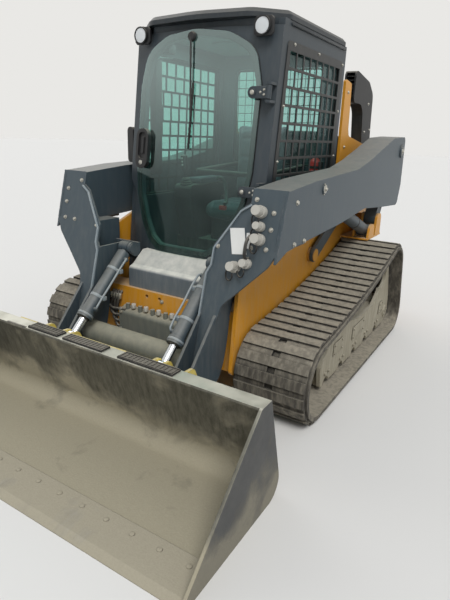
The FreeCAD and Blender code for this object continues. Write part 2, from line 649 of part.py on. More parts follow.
def bucket_shell():
    """The bucket: a bent floor and back, a top flange and two wedge-shaped sides."""
    heel, top = BUCKET_HEEL, BUCKET_TOP
    rise = math.hypot(top[0] - heel[0], top[1] - heel[1])
    along_back = ((top[0] - heel[0]) / rise, (top[1] - heel[1]) / rise)
    inward = (-along_back[1], along_back[0])
    t = BUCKET_PLATE
    front = BUCKET_TIP_Y + EDGE_DEPTH
    inner_top = (top[0] + inward[0] * t, top[1] - t)
    inner_heel = (heel[0] + (t * (inward[0] - 0) + 0) - t * 0.6, t)
    wall = plate([(front, 0), (heel[0], 0, HEEL_RADIUS), top, (top[0] - TOP_FLANGE, top[1]),
                  (top[0] - TOP_FLANGE, top[1] - t), inner_top, (*inner_heel, HEEL_RADIUS - t), (front, t)],
                 -BUCKET_HALF + BUCKET_SIDE, BUCKET_HALF - BUCKET_SIDE)
    side = [(BUCKET_TIP_Y + 8, 0), (heel[0], 0, HEEL_RADIUS), top, (top[0] - TOP_FLANGE, top[1], 20),
            (BUCKET_TIP_Y + 8, 34)]
    cheeks = both(plate(side, BUCKET_HALF - BUCKET_SIDE, BUCKET_HALF))
    return fuse([wall] + cheeks)


def cutting_edge():
    """The bevelled cutting edge along the bucket's lip."""
    inside = BUCKET_HALF - BUCKET_SIDE
    return plate([(BUCKET_TIP_Y, 0), (BUCKET_TIP_Y + EDGE_DEPTH, 0), (BUCKET_TIP_Y + EDGE_DEPTH, EDGE_THICK),
                  (BUCKET_TIP_Y + 34, EDGE_THICK), (BUCKET_TIP_Y, 4)], -inside, inside)


def on_back(distance_up, distance_out):
    """A (y, z) place up the bucket's back from its heel corner and out behind it."""
    rise = distance(BUCKET_HEEL, BUCKET_TOP)
    up = ((BUCKET_TOP[0] - BUCKET_HEEL[0]) / rise, (BUCKET_TOP[1] - BUCKET_HEEL[1]) / rise)
    return (BUCKET_HEEL[0] + up[0] * distance_up + up[1] * distance_out,
            BUCKET_HEEL[1] + up[1] * distance_up - up[0] * distance_out)


def coupler():
    """The quick coupler: a plate on the bucket's back, a top bar and ears round the arms' feet."""
    low, high = 120.0, 505.0
    sheet = plate([on_back(low, 0), on_back(high, 0), on_back(high, COUPLER_PLATE), on_back(low, COUPLER_PLATE)],
                  -COUPLER_HALF, COUPLER_HALF)
    bar = plate([on_back(high - 6, COUPLER_PLATE), on_back(high + 22, 4), on_back(high + 22, 40),
                 on_back(high - 60, 52), on_back(high - 90, COUPLER_PLATE)], -COUPLER_HALF, COUPLER_HALF)
    shelf = plate([on_back(low, COUPLER_PLATE), on_back(low, 70), on_back(low + 14, 70),
                   on_back(low + 14, COUPLER_PLATE)], -COUPLER_HALF, COUPLER_HALF)
    windows = [plate([on_back(low + 60, -5), on_back(high - 120, -5), on_back(high - 120, 40),
                      on_back(low + 60, 40)], x0, x0 + 190) for x0 in (-215, 25)]
    pieces = [cut(sheet, windows), bar, shelf]
    inner = TILT_X - TILT_EYE_WIDTH / 2 - FACE_GAP
    outer = TILT_X + TILT_EYE_WIDTH / 2 + FACE_GAP
    foot_in = FOOT_IN - EAR_FOOT_GAP
    foot_out = FOOT_OUT + EAR_FOOT_GAP
    bores = [pin(PIN_BUCKET, -COUPLER_HALF, COUPLER_HALF, PIN_R + PIN_FIT)]
    rod_ear = plate([on_back(low, 2), on_back(high - 40, 2), on_back(high - 60, 34, ) + (20,),
                     (PIN_TILT_ROD[0] + 20, PIN_TILT_ROD[1] + 42, 30), (PIN_TILT_ROD[0] + 44, PIN_TILT_ROD[1] - 6, 30),
                     (PIN_BUCKET[0] + 50, PIN_BUCKET[1] + 20, 40), (PIN_BUCKET[0] + 30, PIN_BUCKET[1] - 50, 40),
                     on_back(low, 96) + (20,)], 0, COUPLER_EAR)
    for x0 in (inner - COUPLER_EAR, outer):
        piece = rod_ear.copy()
        piece.translate(v(x0, 0, 0))
        pieces += both(piece)
    piece = rod_ear.copy()
    piece.translate(v(foot_out, 0, 0))
    pieces += both(piece)
    return cut(fuse(pieces), bores)


def curved_front(inset, depth, points):
    """A sheet of the bowed, leaning cab front between two depths, trimmed by an (x, z) outline."""
    lean = math.degrees(math.atan2(CAB_FRONT_TOP[0] - CAB_FRONT_LOW[0], CAB_FRONT_TOP[1] - CAB_FRONT_LOW[1]))
    bow = GLASS_RADIUS - math.sqrt(GLASS_RADIUS ** 2 - CAB_HALF ** 2)
    height = 1800.0
    base = v(0, GLASS_RADIUS - bow, -400)
    sheet = Part.makeCylinder(GLASS_RADIUS - inset, height, base, v(0, 0, 1)).cut(
        Part.makeCylinder(GLASS_RADIUS - inset - depth, height, base, v(0, 0, 1)))
    sheet = sheet.common(box(-CAB_HALF, CAB_HALF, -400, 400, -400, height - 400))
    sheet.rotate(v(0, 0, 0), v(1, 0, 0), -lean)
    sheet.translate(v(0, CAB_FRONT_LOW[0], CAB_FRONT_LOW[1]))
    return sheet.common(prism(points, -1200, 400, "xz"))


def door_outline(grow):
    """The door's (x, z) outline, grown or shrunk all round."""
    g = grow
    half = [(186 + g * 0.5, 832 - g, 50), (262 + g * 0.8, 884 - g * 0.7, 90), (330 + g, 985 - g * 0.5, 160),
            (398 + g, 1160, 200), (422 + g, 1330, 300), (422 + g, 1800, 150), (376 + g, 1990 + g * 0.7, 150),
            (216 + g * 0.5, 2072 + g, 200)]
    return half + [(0, 2096 + g, 300)] + [(-x, z, r) for x, z, r in reversed(half)]


def cab_frame():
    """The cab's bowed front, side panels, rear wall and header as one hollow shell."""
    z0, z1 = CAB_FLOOR, CAB_ROOF_Z
    front_out = [(-430, z0 + 12), (430, z0 + 12), (430, 1170, 60), (CAB_HALF, 1240, 60), (CAB_HALF, z1 - 36),
                 (-CAB_HALF, z1 - 36), (-CAB_HALF, 1240, 60), (-430, 1170, 60)]
    bezel = curved_front(GLASS_THICK + SEAL_THICK, BEZEL_THICK, front_out)
    opening = prism(door_outline(-34), -1200, 400, "xz")
    returns = [curved_front(GLASS_THICK + SEAL_THICK + BEZEL_THICK - 1, 26,
                            [(x, z0 + 12), (x + 66, z0 + 12), (x + 66, 1300), (x, 1300)]) for x in (404, -470)]
    side_outline = [(front_y(z0) + 46, z0), (CAB_REAR, z0), (CAB_REAR, z1), (front_y(z1) + 26, z1)]
    side = plate(side_outline, CAB_HALF - CAB_WALL, CAB_HALF)
    side = side.cut(plate(side_window(), CAB_HALF - CAB_WALL - 5, CAB_HALF + 5))
    rear = box(-CAB_HALF + CAB_WALL, CAB_HALF - CAB_WALL, CAB_REAR - CAB_WALL, CAB_REAR, z0, z1)
    rear_hole = prism(rear_window(), CAB_REAR - CAB_WALL - 5, CAB_REAR + 5, "xz")
    header = box(-CAB_HALF + CAB_WALL, CAB_HALF - CAB_WALL, front_y(z1) + 22, front_y(z1) + 80, z1 - 60, z1)
    brow = prism([(-352, z1 - 40), (352, z1 - 40), (352, z1), (-352, z1)], front_y(z1) - 22, front_y(z1) + 24, "xz")
    shell = [bezel.cut(opening)] + returns + both(side) + [rear.cut(rear_hole), header, brow]
    return fuse(shell)


def behind_front(low, high):
    """The space behind the cab front's outer face between two heights, to seat pieces against it."""
    return curved_front(GLASS_THICK + SEAL_THICK, 260, [(-CAB_HALF, low), (CAB_HALF, low), (CAB_HALF, high),
                                                        (-CAB_HALF, high)])


def side_window():
    """The (y, z) outline of the side windows."""
    low, high = CAB_SILL + 40, CAB_ROOF_Z - 120
    return [(front_y(low) + 110, low, 40), (CAB_REAR - 80, low, 40), (CAB_REAR - 80, high, 40),
            (front_y(high) + 110, high, 40)]


def rear_window():
    """The (x, z) outline of the rear window."""
    low, high = 1330, CAB_ROOF_Z - 120
    return [(-360, low, 40), (360, low, 40), (360, high, 40), (-360, high, 40)]


def cab_roof():
    """The roof slab with its bowed visor and corners cut back for the lamps."""
    z0 = CAB_ROOF_Z
    half = CAB_HALF + 4
    slab = prism([(-half, -190, 50), (-345, -342, 120), (0, -384, 600), (345, -342, 120), (half, -190, 50),
                  (half, CAB_REAR + 10, 60), (-half, CAB_REAR + 10, 60)], z0, z0 + ROOF_THICK, "xy")
    top = slab.BoundBox.ZMax
    rim = [edge for edge in slab.Edges if edge.BoundBox.ZMin > top - 1]
    return slab.makeChamfer(22, rim)


def screen():
    """The left side screen: a punched guard with rows of square windows."""
    outline_points = side_window()
    grown = [(outline_points[0][0] - 24, outline_points[0][1] - 20, 40),
             (outline_points[1][0] + 24, outline_points[1][1] - 20, 40),
             (outline_points[2][0] + 24, outline_points[2][1] + 20, 40),
             (outline_points[3][0] - 24, outline_points[3][1] + 20, 40)]
    sheet = plate(grown, CAB_HALF, CAB_HALF + SCREEN_THICK)
    low, high = outline_points[0][1] + 14, outline_points[2][1] - 14
    pitch_z = (high - low) / SCREEN_ROWS
    bar = 15.0
    holes = []
    for row in range(SCREEN_ROWS):
        z = low + row * pitch_z
        first = front_y(z) + 128
        last = CAB_REAR - 96
        count = int((last - first) / SCREEN_PITCH)
        step = (last - first) / count
        for index in range(count):
            y = first + index * step
            holes.append(box(CAB_HALF - 5, CAB_HALF + 15, y, y + step - bar, z, z + pitch_z - bar))
    return cut(sheet, holes)


def side_glass():
    """The left side window's pane, set in from the screen."""
    return plate(side_window(), CAB_HALF - CAB_WALL + 8, CAB_HALF - CAB_WALL + 8 + SIDE_GLASS)


def rear_glass():
    """The rear window's pane."""
    return prism(rear_window(), CAB_REAR - 20, CAB_REAR - 20 + SIDE_GLASS, "xz")


SEAT_BOTTOM = 960.0
SEAT_FRONT = 60.0
SEAT_DEPTH = 470.0
SEAT_HALF = 245.0
CUSHION_THICK = 120.0


def cab_inside():
    """The floor, seat and controls, as a list of name and solids."""
    inside = CAB_HALF - CAB_WALL
    floor = prism([(-inside, CAB_REAR - CAB_WALL), (-inside, -384), (-400, -395), (-396, -420), (-300, -438),
                   (0, -470), (300, -438), (396, -420), (400, -395), (inside, -384),
                   (inside, CAB_REAR - CAB_WALL)],
                  CAB_FLOOR, CAB_FLOOR + 20, "xy")
    riser = box(-CAB_HALF + CAB_WALL, CAB_HALF - CAB_WALL, SEAT_FRONT + 40, CAB_REAR - CAB_WALL,
                CAB_FLOOR + 20, 800)
    base = prism([(-200, SEAT_FRONT + 90, 20), (200, SEAT_FRONT + 90, 20), (200, SEAT_FRONT + 430, 20),
                  (-200, SEAT_FRONT + 430, 20)], 800, SEAT_BOTTOM, "xy")
    cushion = prism([(-SEAT_HALF, SEAT_FRONT, 60), (SEAT_HALF, SEAT_FRONT, 60),
                     (SEAT_HALF, SEAT_FRONT + SEAT_DEPTH, 40), (-SEAT_HALF, SEAT_FRONT + SEAT_DEPTH, 40)],
                    SEAT_BOTTOM, SEAT_BOTTOM + CUSHION_THICK, "xy")
    back = prism([(-235, SEAT_BOTTOM + CUSHION_THICK + FACE_GAP, 40), (235, SEAT_BOTTOM + CUSHION_THICK + FACE_GAP, 40),
                  (225, 1640, 90), (-225, 1640, 90)], 0, 110, "xz")
    back.translate(v(0, SEAT_FRONT + SEAT_DEPTH - 60, 0))
    console = prism([(SEAT_FRONT + 20, 800), (SEAT_FRONT + 440, 800), (SEAT_FRONT + 440, 1190, 30),
                     (SEAT_FRONT - 60, 1190, 40), (SEAT_FRONT - 60, 1100, 30)], 275, 420, "yz")
    stick = fuse([rod((348, SEAT_FRONT - 10, 1190), (348, SEAT_FRONT - 30, 1300), 12),
                  rod((348, SEAT_FRONT - 28, 1290), (348, SEAT_FRONT - 44, 1390), 24)])
    stick = stick.cut(box(300, 400, SEAT_FRONT - 60, SEAT_FRONT + 60, 1150, 1190 + FACE_GAP))
    pedal = prism([(front_y(700) + 120, CAB_FLOOR + 20), (front_y(700) + 330, CAB_FLOOR + 20),
                   (front_y(700) + 150, CAB_FLOOR + 130)], 120, 240, "yz")
    return [("cab_floor", [floor, riser]), ("foot_rests", both(pedal)), ("seat_base", [base]),
            ("seat_cushion", [cushion]), ("seat_back", [back]), ("consoles", both(console)),
            ("joysticks", both(stick))]


def lap_bar():
    """The black restraint bar over the operator's lap."""
    y = SEAT_FRONT - 20
    z = 1290.0
    side = rod((262, CAB_REAR - CAB_WALL, 1330), (262, y + 30, z), 17)
    side = side.cut(box(200, 320, CAB_REAR - CAB_WALL - FACE_GAP, CAB_REAR, 1290, 1370))
    side_b = rod((262, y + 30, z), (230, y, z), 17)
    bar = rod((-232, y, z), (232, y, z), 17)
    knuckles = [Part.makeSphere(17, v(x, y + dy, z)) for x, dy in ((262, 30), (231, 0))]
    left = [side, side_b] + knuckles
    return fuse(left + [mirror(piece) for piece in left] + [bar])


def work_lamps():
    """The two round lamps before the roof's cut corners, each hung from a short bracket."""
    y = CAB_FRONT_TOP[0] - 26
    z = 2087.0
    x = 414.0
    head = fuse([rod((x, y, z), (x, y - 34, z), 44), rod((x, y - 34, z), (x, y - 46, z), 47)])
    head = cut(head, [rod((x, y - 41, z), (x, y - 50, z), 41)])
    stem = box(x - 13, x + 13, y - 30, y + 50, z + 24, CAB_ROOF_Z - FACE_GAP)
    return both(fuse([head, stem]))


def mirror_arm():
    """The slim mirror beside the right front post, on a short stub inside the arm's path."""
    y, z = MIRROR
    x = -CAB_HALF - 43
    stub = rod((-CAB_HALF - FACE_GAP, y + 12, z), (x, y + 4, z), 10)
    head = prism([(z - 112, -30, 28), (z + 112, -30, 28), (z + 112, 30, 28), (z - 112, 30, 28)], 0, 26, "xy")
    head.rotate(v(0, 0, 0), v(0, 1, 0), -90)
    head.rotate(v(0, 0, 0), v(0, 0, 1), 78)
    middle = head.BoundBox.Center
    head.translate(v(x - middle.x, y - middle.y, 0))
    stub = stub.cut(box(-CAB_HALF - FACE_GAP, 0, y - 60, y + 60, z - 30, z + 30))
    return fuse([stub, head])


def bay_rear():
    """The rear face of the engine bay."""
    return REAR_Y - REAR_DOOR_THICK - 6


def engine_side():
    """The yellow left side of the engine bay: a tall front post, a vented panel and a shelf by the hood."""
    y1 = bay_rear()
    panel = plate([(HOOD_FRONT_Y + 55, FRAME_TOP + 2), (y1, FRAME_TOP + 2), (y1, HOOD_REAR_Z, 30),
                   (HOOD_FRONT_Y + 215, HOOD_FRONT_Z, 40), (HOOD_FRONT_Y + 190, HOOD_FRONT_Z + 50, 20),
                   (HOOD_FRONT_Y + 160, 1925, 20), (HOOD_FRONT_Y + 30, 1945, 20)],
                  PANEL_HALF - PANEL_THICK, PANEL_HALF)
    vents = []
    for row in range(5):
        z = 1130 + row * 52
        vents.append(plate([(1080, z, 12), (1620, z, 12), (1620, z + 26, 12), (1080, z + 26, 12)],
                           PANEL_HALF - PANEL_THICK - 5, PANEL_HALF + 5))
    y0 = HOOD_FRONT_Y + 220
    shelf = plate([(y0, HOOD_FRONT_Z - 22), (y0, HOOD_FRONT_Z - 2), (y1, HOOD_REAR_Z - 2), (y1, HOOD_REAR_Z - 22)],
                  HOOD_HALF + 6, PANEL_HALF - PANEL_THICK)
    flange = box(PANEL_HALF - PANEL_THICK, SIDE_OUT, 880, 1380, FRAME_TOP, FRAME_TOP + 12)
    return fuse([cut(panel, vents), shelf, flange])


def hood():
    """The hood over the engine bay, a sloped cap with a raised, slotted centre and its hinge knuckles."""
    y0, y1 = COWL_Y + COWL_THICK + 1, bay_rear()
    cap = plate([(y0, HOOD_FRONT_Z), (y1, HOOD_REAR_Z + 6, 40), (y1, HOOD_REAR_Z - PANEL_THICK + 6),
                 (y0, HOOD_FRONT_Z - PANEL_THICK)], -HOOD_HALF, HOOD_HALF)
    rise = plate([(y0 + 80, HOOD_FRONT_Z - 14), (y0 + 110, HOOD_FRONT_Z + 30, 20),
                  (y1 - 160, HOOD_REAR_Z + 52, 30), (y1 - 110, HOOD_REAR_Z + 14)], -290, 290)
    pieces = [cap, rise]
    for x0, x1 in ((-330, -240), (240, 330)):
        pieces.append(pin(HOOD_HINGE, x0, x1, HINGE_PIN_R + 6))
        pieces.append(box(x0, x1, HOOD_HINGE[0], y0 + 40, HOOD_FRONT_Z - 8, HOOD_FRONT_Z + 6))
    gills = [box(-250 + i * 105, -185 + i * 105, y0 + 190, y1 - 260, HOOD_REAR_Z, HOOD_FRONT_Z + 60)
             for i in range(5)]
    return cut(fuse(pieces), gills + [pin(HOOD_HINGE, -340, 340, HINGE_PIN_R + PIN_FIT)])


def rear_door():
    """The rear door, framed round its cooling grille, with its hinge knuckles on the right."""
    y0, y1 = REAR_Y - REAR_DOOR_THICK, REAR_Y
    half = PANEL_HALF - 2
    frame = prism([(-half, REAR_DOOR_BOTTOM, 40), (half, REAR_DOOR_BOTTOM, 40), (half, HOOD_REAR_Z, 60),
                   (-half, HOOD_REAR_Z, 60)], y0, y1, "xz")
    opening = prism([(-360, 700, 20), (360, 700, 20), (360, 1330, 20), (-360, 1330, 20)], y0 - 5, y1 + 5, "xz")
    x, y = REAR_HINGE
    pieces = [frame.cut(opening)]
    for z in REAR_HINGE_HEIGHTS:
        pieces.append(rod((x, y, z), (x, y, z + 66), HINGE_PIN_R + 5))
        pieces.append(box(x, -half, y + 2, y + 12, z, z + 66))
    bores = [rod((x, y, z - 5), (x, y, z + 75), HINGE_PIN_R + PIN_FIT) for z in REAR_HINGE_HEIGHTS]
    return cut(fuse(pieces), bores)


def rear_hinges():
    """The fixed lugs and pins of the rear door, on the frame's side and on the side panel."""
    x, y = REAR_HINGE
    low, high = REAR_HINGE_HEIGHTS
    lugs = [fuse([box(-SIDE_OUT, x + 8, 1800, y + 10, low - 14, low - FACE_GAP),
                  rod((x, y, low - 14), (x, y, low + 70), HINGE_PIN_R)]),
            fuse([box(x - 9, -PANEL_HALF, 1780, 1822, high - 14, high - FACE_GAP),
                  box(x - 9, x + 9, 1780, y + 10, high - 14, high - FACE_GAP),
                  rod((x, y, high - 14), (x, y, high + 70), HINGE_PIN_R)])]
    return lugs


def rear_grille():
    """The rear grille: slats across the door's opening."""
    y0 = REAR_Y - REAR_DOOR_THICK + 14
    half = 360 - FACE_GAP
    slats = [prism([(y0, 722 + i * 46.5), (y0 + 26, 746 + i * 46.5), (y0 + 26, 754 + i * 46.5),
                    (y0, 730 + i * 46.5)], -half, half, "yz") for i in range(13)]
    posts = [box(x - 6, x + 6, y0 + 6, y0 + 18, 702, 1328) for x in (-340, -120, 120, 340)]
    return fuse(slats + posts)


def exhaust():
    """The tall hooked air duct on the left shelf, with its open mouth facing forward."""
    x0, x1 = HOOD_HALF + 18, PANEL_HALF - PANEL_THICK - 4
    body = plate([(1085, 1808, 40), (1330, 1806, 120), (1385, 1560, 60), (1400, shelf_z(1400)),
                  (1640, shelf_z(1640)), (1600, 1700, 60), (1575, 1900, 90), (1440, 1985, 120), (1085, 2040, 40)],
                 x0, x1)
    hollow = plate([(1060, 1826, 30), (1230, 1826, 30), (1230, 2000, 30), (1060, 2024, 30)], x0 + 12, x1 - 12)
    return cut(body, [hollow])


def shelf_z(y):
    """The top of the shelves beside the hood, which fall towards the rear."""
    start = HOOD_FRONT_Y + 220
    return HOOD_FRONT_Z - 2 + (HOOD_REAR_Z - HOOD_FRONT_Z) * (y - start) / (bay_rear() - start)


def front_step():
    """The sloped sill and the step panel below the door, from the cab's front to the crossmember."""
    sill = plate([(-420, 806), (-420, 820), (-510, 820), (-606, 744, 20), (-646, 730, 20),
                  (-646, CROSSMEMBER_TOP), (-630, CROSSMEMBER_TOP), (-630, 716), (-606, 728), (-506, 806)],
                 -SILL_HALF, SILL_HALF)
    return sill.cut(behind_front(700, 860))


def manifold():
    """The grey cover across the front of the frame, with a row of fittings along its top."""
    cover = plate([(FRAME_FRONT + 7.5, 300), (FRAME_FRONT - 46, 330, 20), (FRAME_FRONT - 54, 462, 30),
                   (FRAME_FRONT + 7.5, 486)], -300, 300)
    caps = [rod((x, FRAME_FRONT - 20, 470), (x, FRAME_FRONT - 20, 508), 14) for x in range(-250, 251, 100)]
    return fuse([cover] + caps)


def engine():
    """The engine on its feet and the cooling pack before the rear door."""
    block = fuse([box(-250, 250, 980, 1480, 430, 1060), box(-180, 180, 1040, 1420, 1060, 1240),
                  pin((1240, 760), -330, 330, 120)])
    feet = [box(x0, x0 + 90, y0, y0 + 110, FRAME_BOTTOM + BELLY_THICK, 440)
            for x0 in (-240, 150) for y0 in (1000, 1360)]
    half = PANEL_HALF - PANEL_THICK - FACE_GAP
    pack = box(-half, half, 1700, 1790, 540, 1400)
    return [fuse([block] + feet), pack]


def tail_lamps():
    """The two tail lamps in the bumper's pockets."""
    return both(box(341, 429, REAR_Y - 46, REAR_Y - 10, 421, 499))


def bumper():
    """The rear bumper and counterweight below the door, between the frame's sides."""
    bar = prism([(-SIDE_IN, 1664), (SIDE_IN, 1664), (SIDE_IN, REAR_Y - 60, 40), (430, REAR_Y, 50),
                 (-430, REAR_Y, 50), (-SIDE_IN, REAR_Y - 60, 40)], 300, REAR_DOOR_BOTTOM - 8, "xy")
    pockets = [box(x0, x0 + 90, REAR_Y - 46, REAR_Y + 5, 420, 500) for x0 in (-430, 340)]
    return cut(bar, pockets)


def door_parts():
    """The glass door, its seal, its hinges and its handle, as name and solids."""
    glass = curved_front(0, GLASS_THICK, door_outline(0))
    seal = curved_front(GLASS_THICK, SEAL_THICK - FACE_GAP, door_outline(0))
    seal = seal.cut(prism(door_outline(-30), -1200, 400, "xz"))
    hinges = []
    for z in HINGE_HEIGHTS:
        y = front_y(z)
        leaf = prism([(DOOR_HINGE_X - 112, z - 20, 10), (DOOR_HINGE_X - 4, z - 26), (DOOR_HINGE_X - 4, z + 26),
                      (DOOR_HINGE_X - 112, z + 20, 10)], y - 52, y - 38, "xz")
        knuckle = rod(on_hinge(z - 34), on_hinge(z + 34), 16)
        bore = rod(on_hinge(z - 40), on_hinge(z + 40), HINGE_PIN_R + PIN_FIT)
        knob = rod((DOOR_HINGE_X - 92, y - 62, z), (DOOR_HINGE_X - 92, y - 20, z), 20).cut(
            curved_front(0, 260, [(200, z - 60), (CAB_HALF, z - 60), (CAB_HALF, z + 60), (200, z + 60)]))
        hinges.append(cut(fuse([leaf, knuckle, knob]), [bore]))
    x, z = LATCH
    oval = [(x - 56, z - 118, 50), (x + 56, z - 118, 50), (x + 56, z + 118, 50), (x - 56, z + 118, 50)]
    inset = [(x - 34, z - 60, 26), (x + 38, z - 60, 26), (x + 38, z + 96, 26), (x - 34, z + 96, 26)]
    housing = cut(curved_front(-32, 32, oval), [curved_front(-60, 40, inset)])
    grip = curved_front(-28, 28, [(x - 10, z - 30, 8), (x + 14, z - 30, 8), (x + 14, z + 70, 8), (x - 10, z + 70, 8)])
    handle = fuse([housing, grip]).cut(curved_front(-FACE_GAP, 60, [(-CAB_HALF, z - 200), (0, z - 200), (0, z + 200),
                                                                    (-CAB_HALF, z + 200)]))
    return [("door_glass", [glass]), ("door_seal", [seal]), ("door_hinges", hinges), ("door_handle", [handle])]


def on_hinge(z):
    """A point of the cab door's leaning hinge line at a height."""
    return (DOOR_HINGE_X, front_y(z) - HINGE_OUT, z)


def hinge_posts():
    """The fixed brackets and pins that carry the door's hinge line on the left front post."""
    posts = []
    for z in HINGE_HEIGHTS:
        lugs = []
        for low in (z - 53, z + 38):
            x, y, _ = on_hinge(low + 8)
            lugs.append(prism([(x - 14, y - 14, 8), (x + 14, y - 14, 8), (x + 14, y + 90), (x - 14, y + 90)],
                              low, low + 15, "xy"))
        lugs.append(rod(on_hinge(z - 52), on_hinge(z + 52), HINGE_PIN_R))
        posts.append(fuse(lugs).cut(behind_front(z - 100, z + 100)))
    return posts


def aux_couplers():
    """The hydraulic couplers on the left wall: a column of three caps and a lower pair."""
    def cap(x, z, radius, reach):
        y = wall_y(z)
        lean = reach * WALL_SLOPE
        face = FACE_GAP + WALL_THICK * (math.hypot(1, WALL_SLOPE) - 1)
        body = rod((x, y, z), (x, y - reach, z + lean), radius)
        collar = rod((x, y, z), (x, y - reach * 0.45, z + lean * 0.45), radius + 6)
        behind = plate([(wall_y(z - 90) - face, z - 90), (wall_y(z + 90) - face, z + 90),
                        (wall_y(z + 90) + 90, z + 90), (wall_y(z - 90) + 90, z - 90)], x - 60, x + 60)
        return fuse([body, collar]).cut(behind)
    return [cap(660, 1178, 25, 74), cap(668, 1108, 19, 62), cap(676, 1046, 24, 70), cap(566, 896, 24, 66),
            cap(628, 922, 21, 58)]


def bucket_pads():
    """The two black step pads on the bucket's top flange."""
    y1 = BUCKET_TOP[0] - 8
    y0 = BUCKET_TOP[0] - TOP_FLANGE + 10
    z = BUCKET_TOP[1]
    return [box(x0, x1, y0, y1, z, z + 9) for x0, x1 in ((-330, -110), (300, 620))]


def keep(name, solids):
    """Write one node's solids to its STEP file."""
    shape = solids[0] if len(solids) == 1 else Part.makeCompound(solids)
    shape.exportStep(os.path.join("parts", name + ".step"))
    print(name, len(shape.Solids), round(sum(s.Volume for s in shape.Solids) / 1e6, 2), "litres")


def main():
    """Build every node in turn."""
    os.makedirs("parts", exist_ok=True)
    left_track = track()
    keep("track_left", [left_track])
    keep("track_right", [mirror(left_track)])
    keep("front_idlers", both(track_wheel(FRONT_IDLER, FRONT_IDLER_R - RIM_FIT, 40)))
    keep("rear_idlers", both(track_wheel(REAR_IDLER, REAR_IDLER_R - RIM_FIT, 32)))
    keep("sprockets", both(sprocket()))
    motors = drive_motor()
    keep("drive_motors", motors + [mirror(piece) for piece in motors])
    rollers = track_rollers()
    keep("track_rollers", rollers + [mirror(piece) for piece in rollers])
    left_frame = undercarriage()
    keep("track_frame_left", [left_frame])
    keep("track_frame_right", [mirror(left_frame)])
    side = frame_side()
    keep("frame_side_left", [side])
    keep("frame_side_right", [mirror(side)])
    keep("frame_cross", [frame_cross()])
    keep("front_step", [front_step()])
    keep("manifold_cover", [manifold()])
    keep("rear_bumper", [bumper()])
    keep("tail_lamps", tail_lamps())
    power, pack = engine()
    keep("engine_block", [power])
    keep("cooling_pack", [pack])
    keep("cowl", [cowl()])
    keep("rear_hinges", rear_hinges())
    panel = engine_side()
    keep("engine_panels", both(panel))
    keep("exhaust_duct", [exhaust()])
    keep("hood", [hood()])
    keep("rear_door", [rear_door()])
    keep("rear_grille", [rear_grille()])
    keep("cab_frame", [cab_frame()])
    keep("cab_roof", [cab_roof()])
    keep("side_screens", both(screen()))
    keep("side_glass", both(side_glass()))
    keep("rear_glass", [rear_glass()])
    for name, solids in cab_inside():
        keep(name, solids)
    keep("lap_bar", [lap_bar()])
    keep("work_lamps", work_lamps())
    keep("side_mirror", [mirror_arm()])
    keep("hinge_posts", hinge_posts())
    for name, solids in door_parts():
        keep(name, solids)
    keep("rear_links", both(rear_link()))
    keep("control_links", both(control_link()))
    left_arm = arm()
    keep("arm_left", [left_arm])
    keep("arm_right", [mirror(left_arm)])
    keep("aux_couplers", aux_couplers())
    keep("cross_tube", [pin(CROSS_TUBE, -FOOT_IN + 0.2, FOOT_IN - 0.2, CROSS_TUBE_R)])
    keep("lift_barrels", both(barrel(PIN_LIFT_BASE, PIN_LIFT_ROD, LINK_MID, LIFT_BARREL_R, LIFT_BARREL_LENGTH,
                                     LIFT_ROD_R + ROD_FIT, (LIFT_EYE_R, (LINK_OUT - LINK_IN) / 2), PIN_R)))
    keep("lift_rods", both(piston_rod(PIN_LIFT_BASE, PIN_LIFT_ROD, LINK_MID, LIFT_ROD_R, LIFT_ROD_START,
                                      (LINK_OUT - LINK_IN) / 2)))
    keep("tilt_barrels", both(barrel(PIN_TILT_BASE, PIN_TILT_ROD, TILT_X, TILT_BARREL_R, TILT_BARREL_LENGTH,
                                     TILT_ROD_R + ROD_FIT, (TILT_EYE_R, TILT_EYE_WIDTH / 2), PIN_R - 6)))
    keep("tilt_rods", both(piston_rod(PIN_TILT_BASE, PIN_TILT_ROD, TILT_X, TILT_ROD_R, TILT_ROD_START,
                                      TILT_EYE_WIDTH / 2)))
    keep("coupler", [coupler()])
    keep("bucket_shell", [bucket_shell()])
    keep("cutting_edge", [cutting_edge()])
    keep("bucket_pads", bucket_pads())


main()
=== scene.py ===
"""Dresses a compact track loader on its CAD frame, with its finishes, fittings, seat, light and camera."""
import logging
import math
from dataclasses import dataclass, field
from enum import Enum
from typing import ClassVar, Optional, Sequence, Union

import bmesh
import bpy
from mathutils import Matrix, Vector


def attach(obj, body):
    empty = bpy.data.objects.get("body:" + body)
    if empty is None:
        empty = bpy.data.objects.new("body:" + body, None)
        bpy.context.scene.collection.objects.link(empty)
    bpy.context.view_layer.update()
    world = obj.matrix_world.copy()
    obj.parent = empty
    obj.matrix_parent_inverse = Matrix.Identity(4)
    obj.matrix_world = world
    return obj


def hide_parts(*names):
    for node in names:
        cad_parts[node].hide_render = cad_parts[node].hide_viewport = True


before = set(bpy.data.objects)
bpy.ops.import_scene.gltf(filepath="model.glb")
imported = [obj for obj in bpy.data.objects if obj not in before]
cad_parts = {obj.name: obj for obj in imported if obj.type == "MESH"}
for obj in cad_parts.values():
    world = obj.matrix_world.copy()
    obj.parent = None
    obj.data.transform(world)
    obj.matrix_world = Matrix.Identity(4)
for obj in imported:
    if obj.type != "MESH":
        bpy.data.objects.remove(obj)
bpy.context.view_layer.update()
log = logging.getLogger("loader")

Point = tuple[float, float, float]
Flat = tuple[float, float]
Colour = tuple[float, float, float, float]
Socket = bpy.types.NodeSocket
Level = Union[float, bpy.types.NodeSocket]


class Body(str, Enum):
    """The bodies of the frame that a piece can ride on."""

    CHASSIS = "chassis"
    BOOM = "boom"
    BUCKET = "bucket"
    CAB_DOOR = "cab_door"
    REAR_DOOR = "rear_door"
    HOOD = "hood"
    LIFT_BARRELS = "lift_barrels"
    TILT_BARRELS = "tilt_barrels"


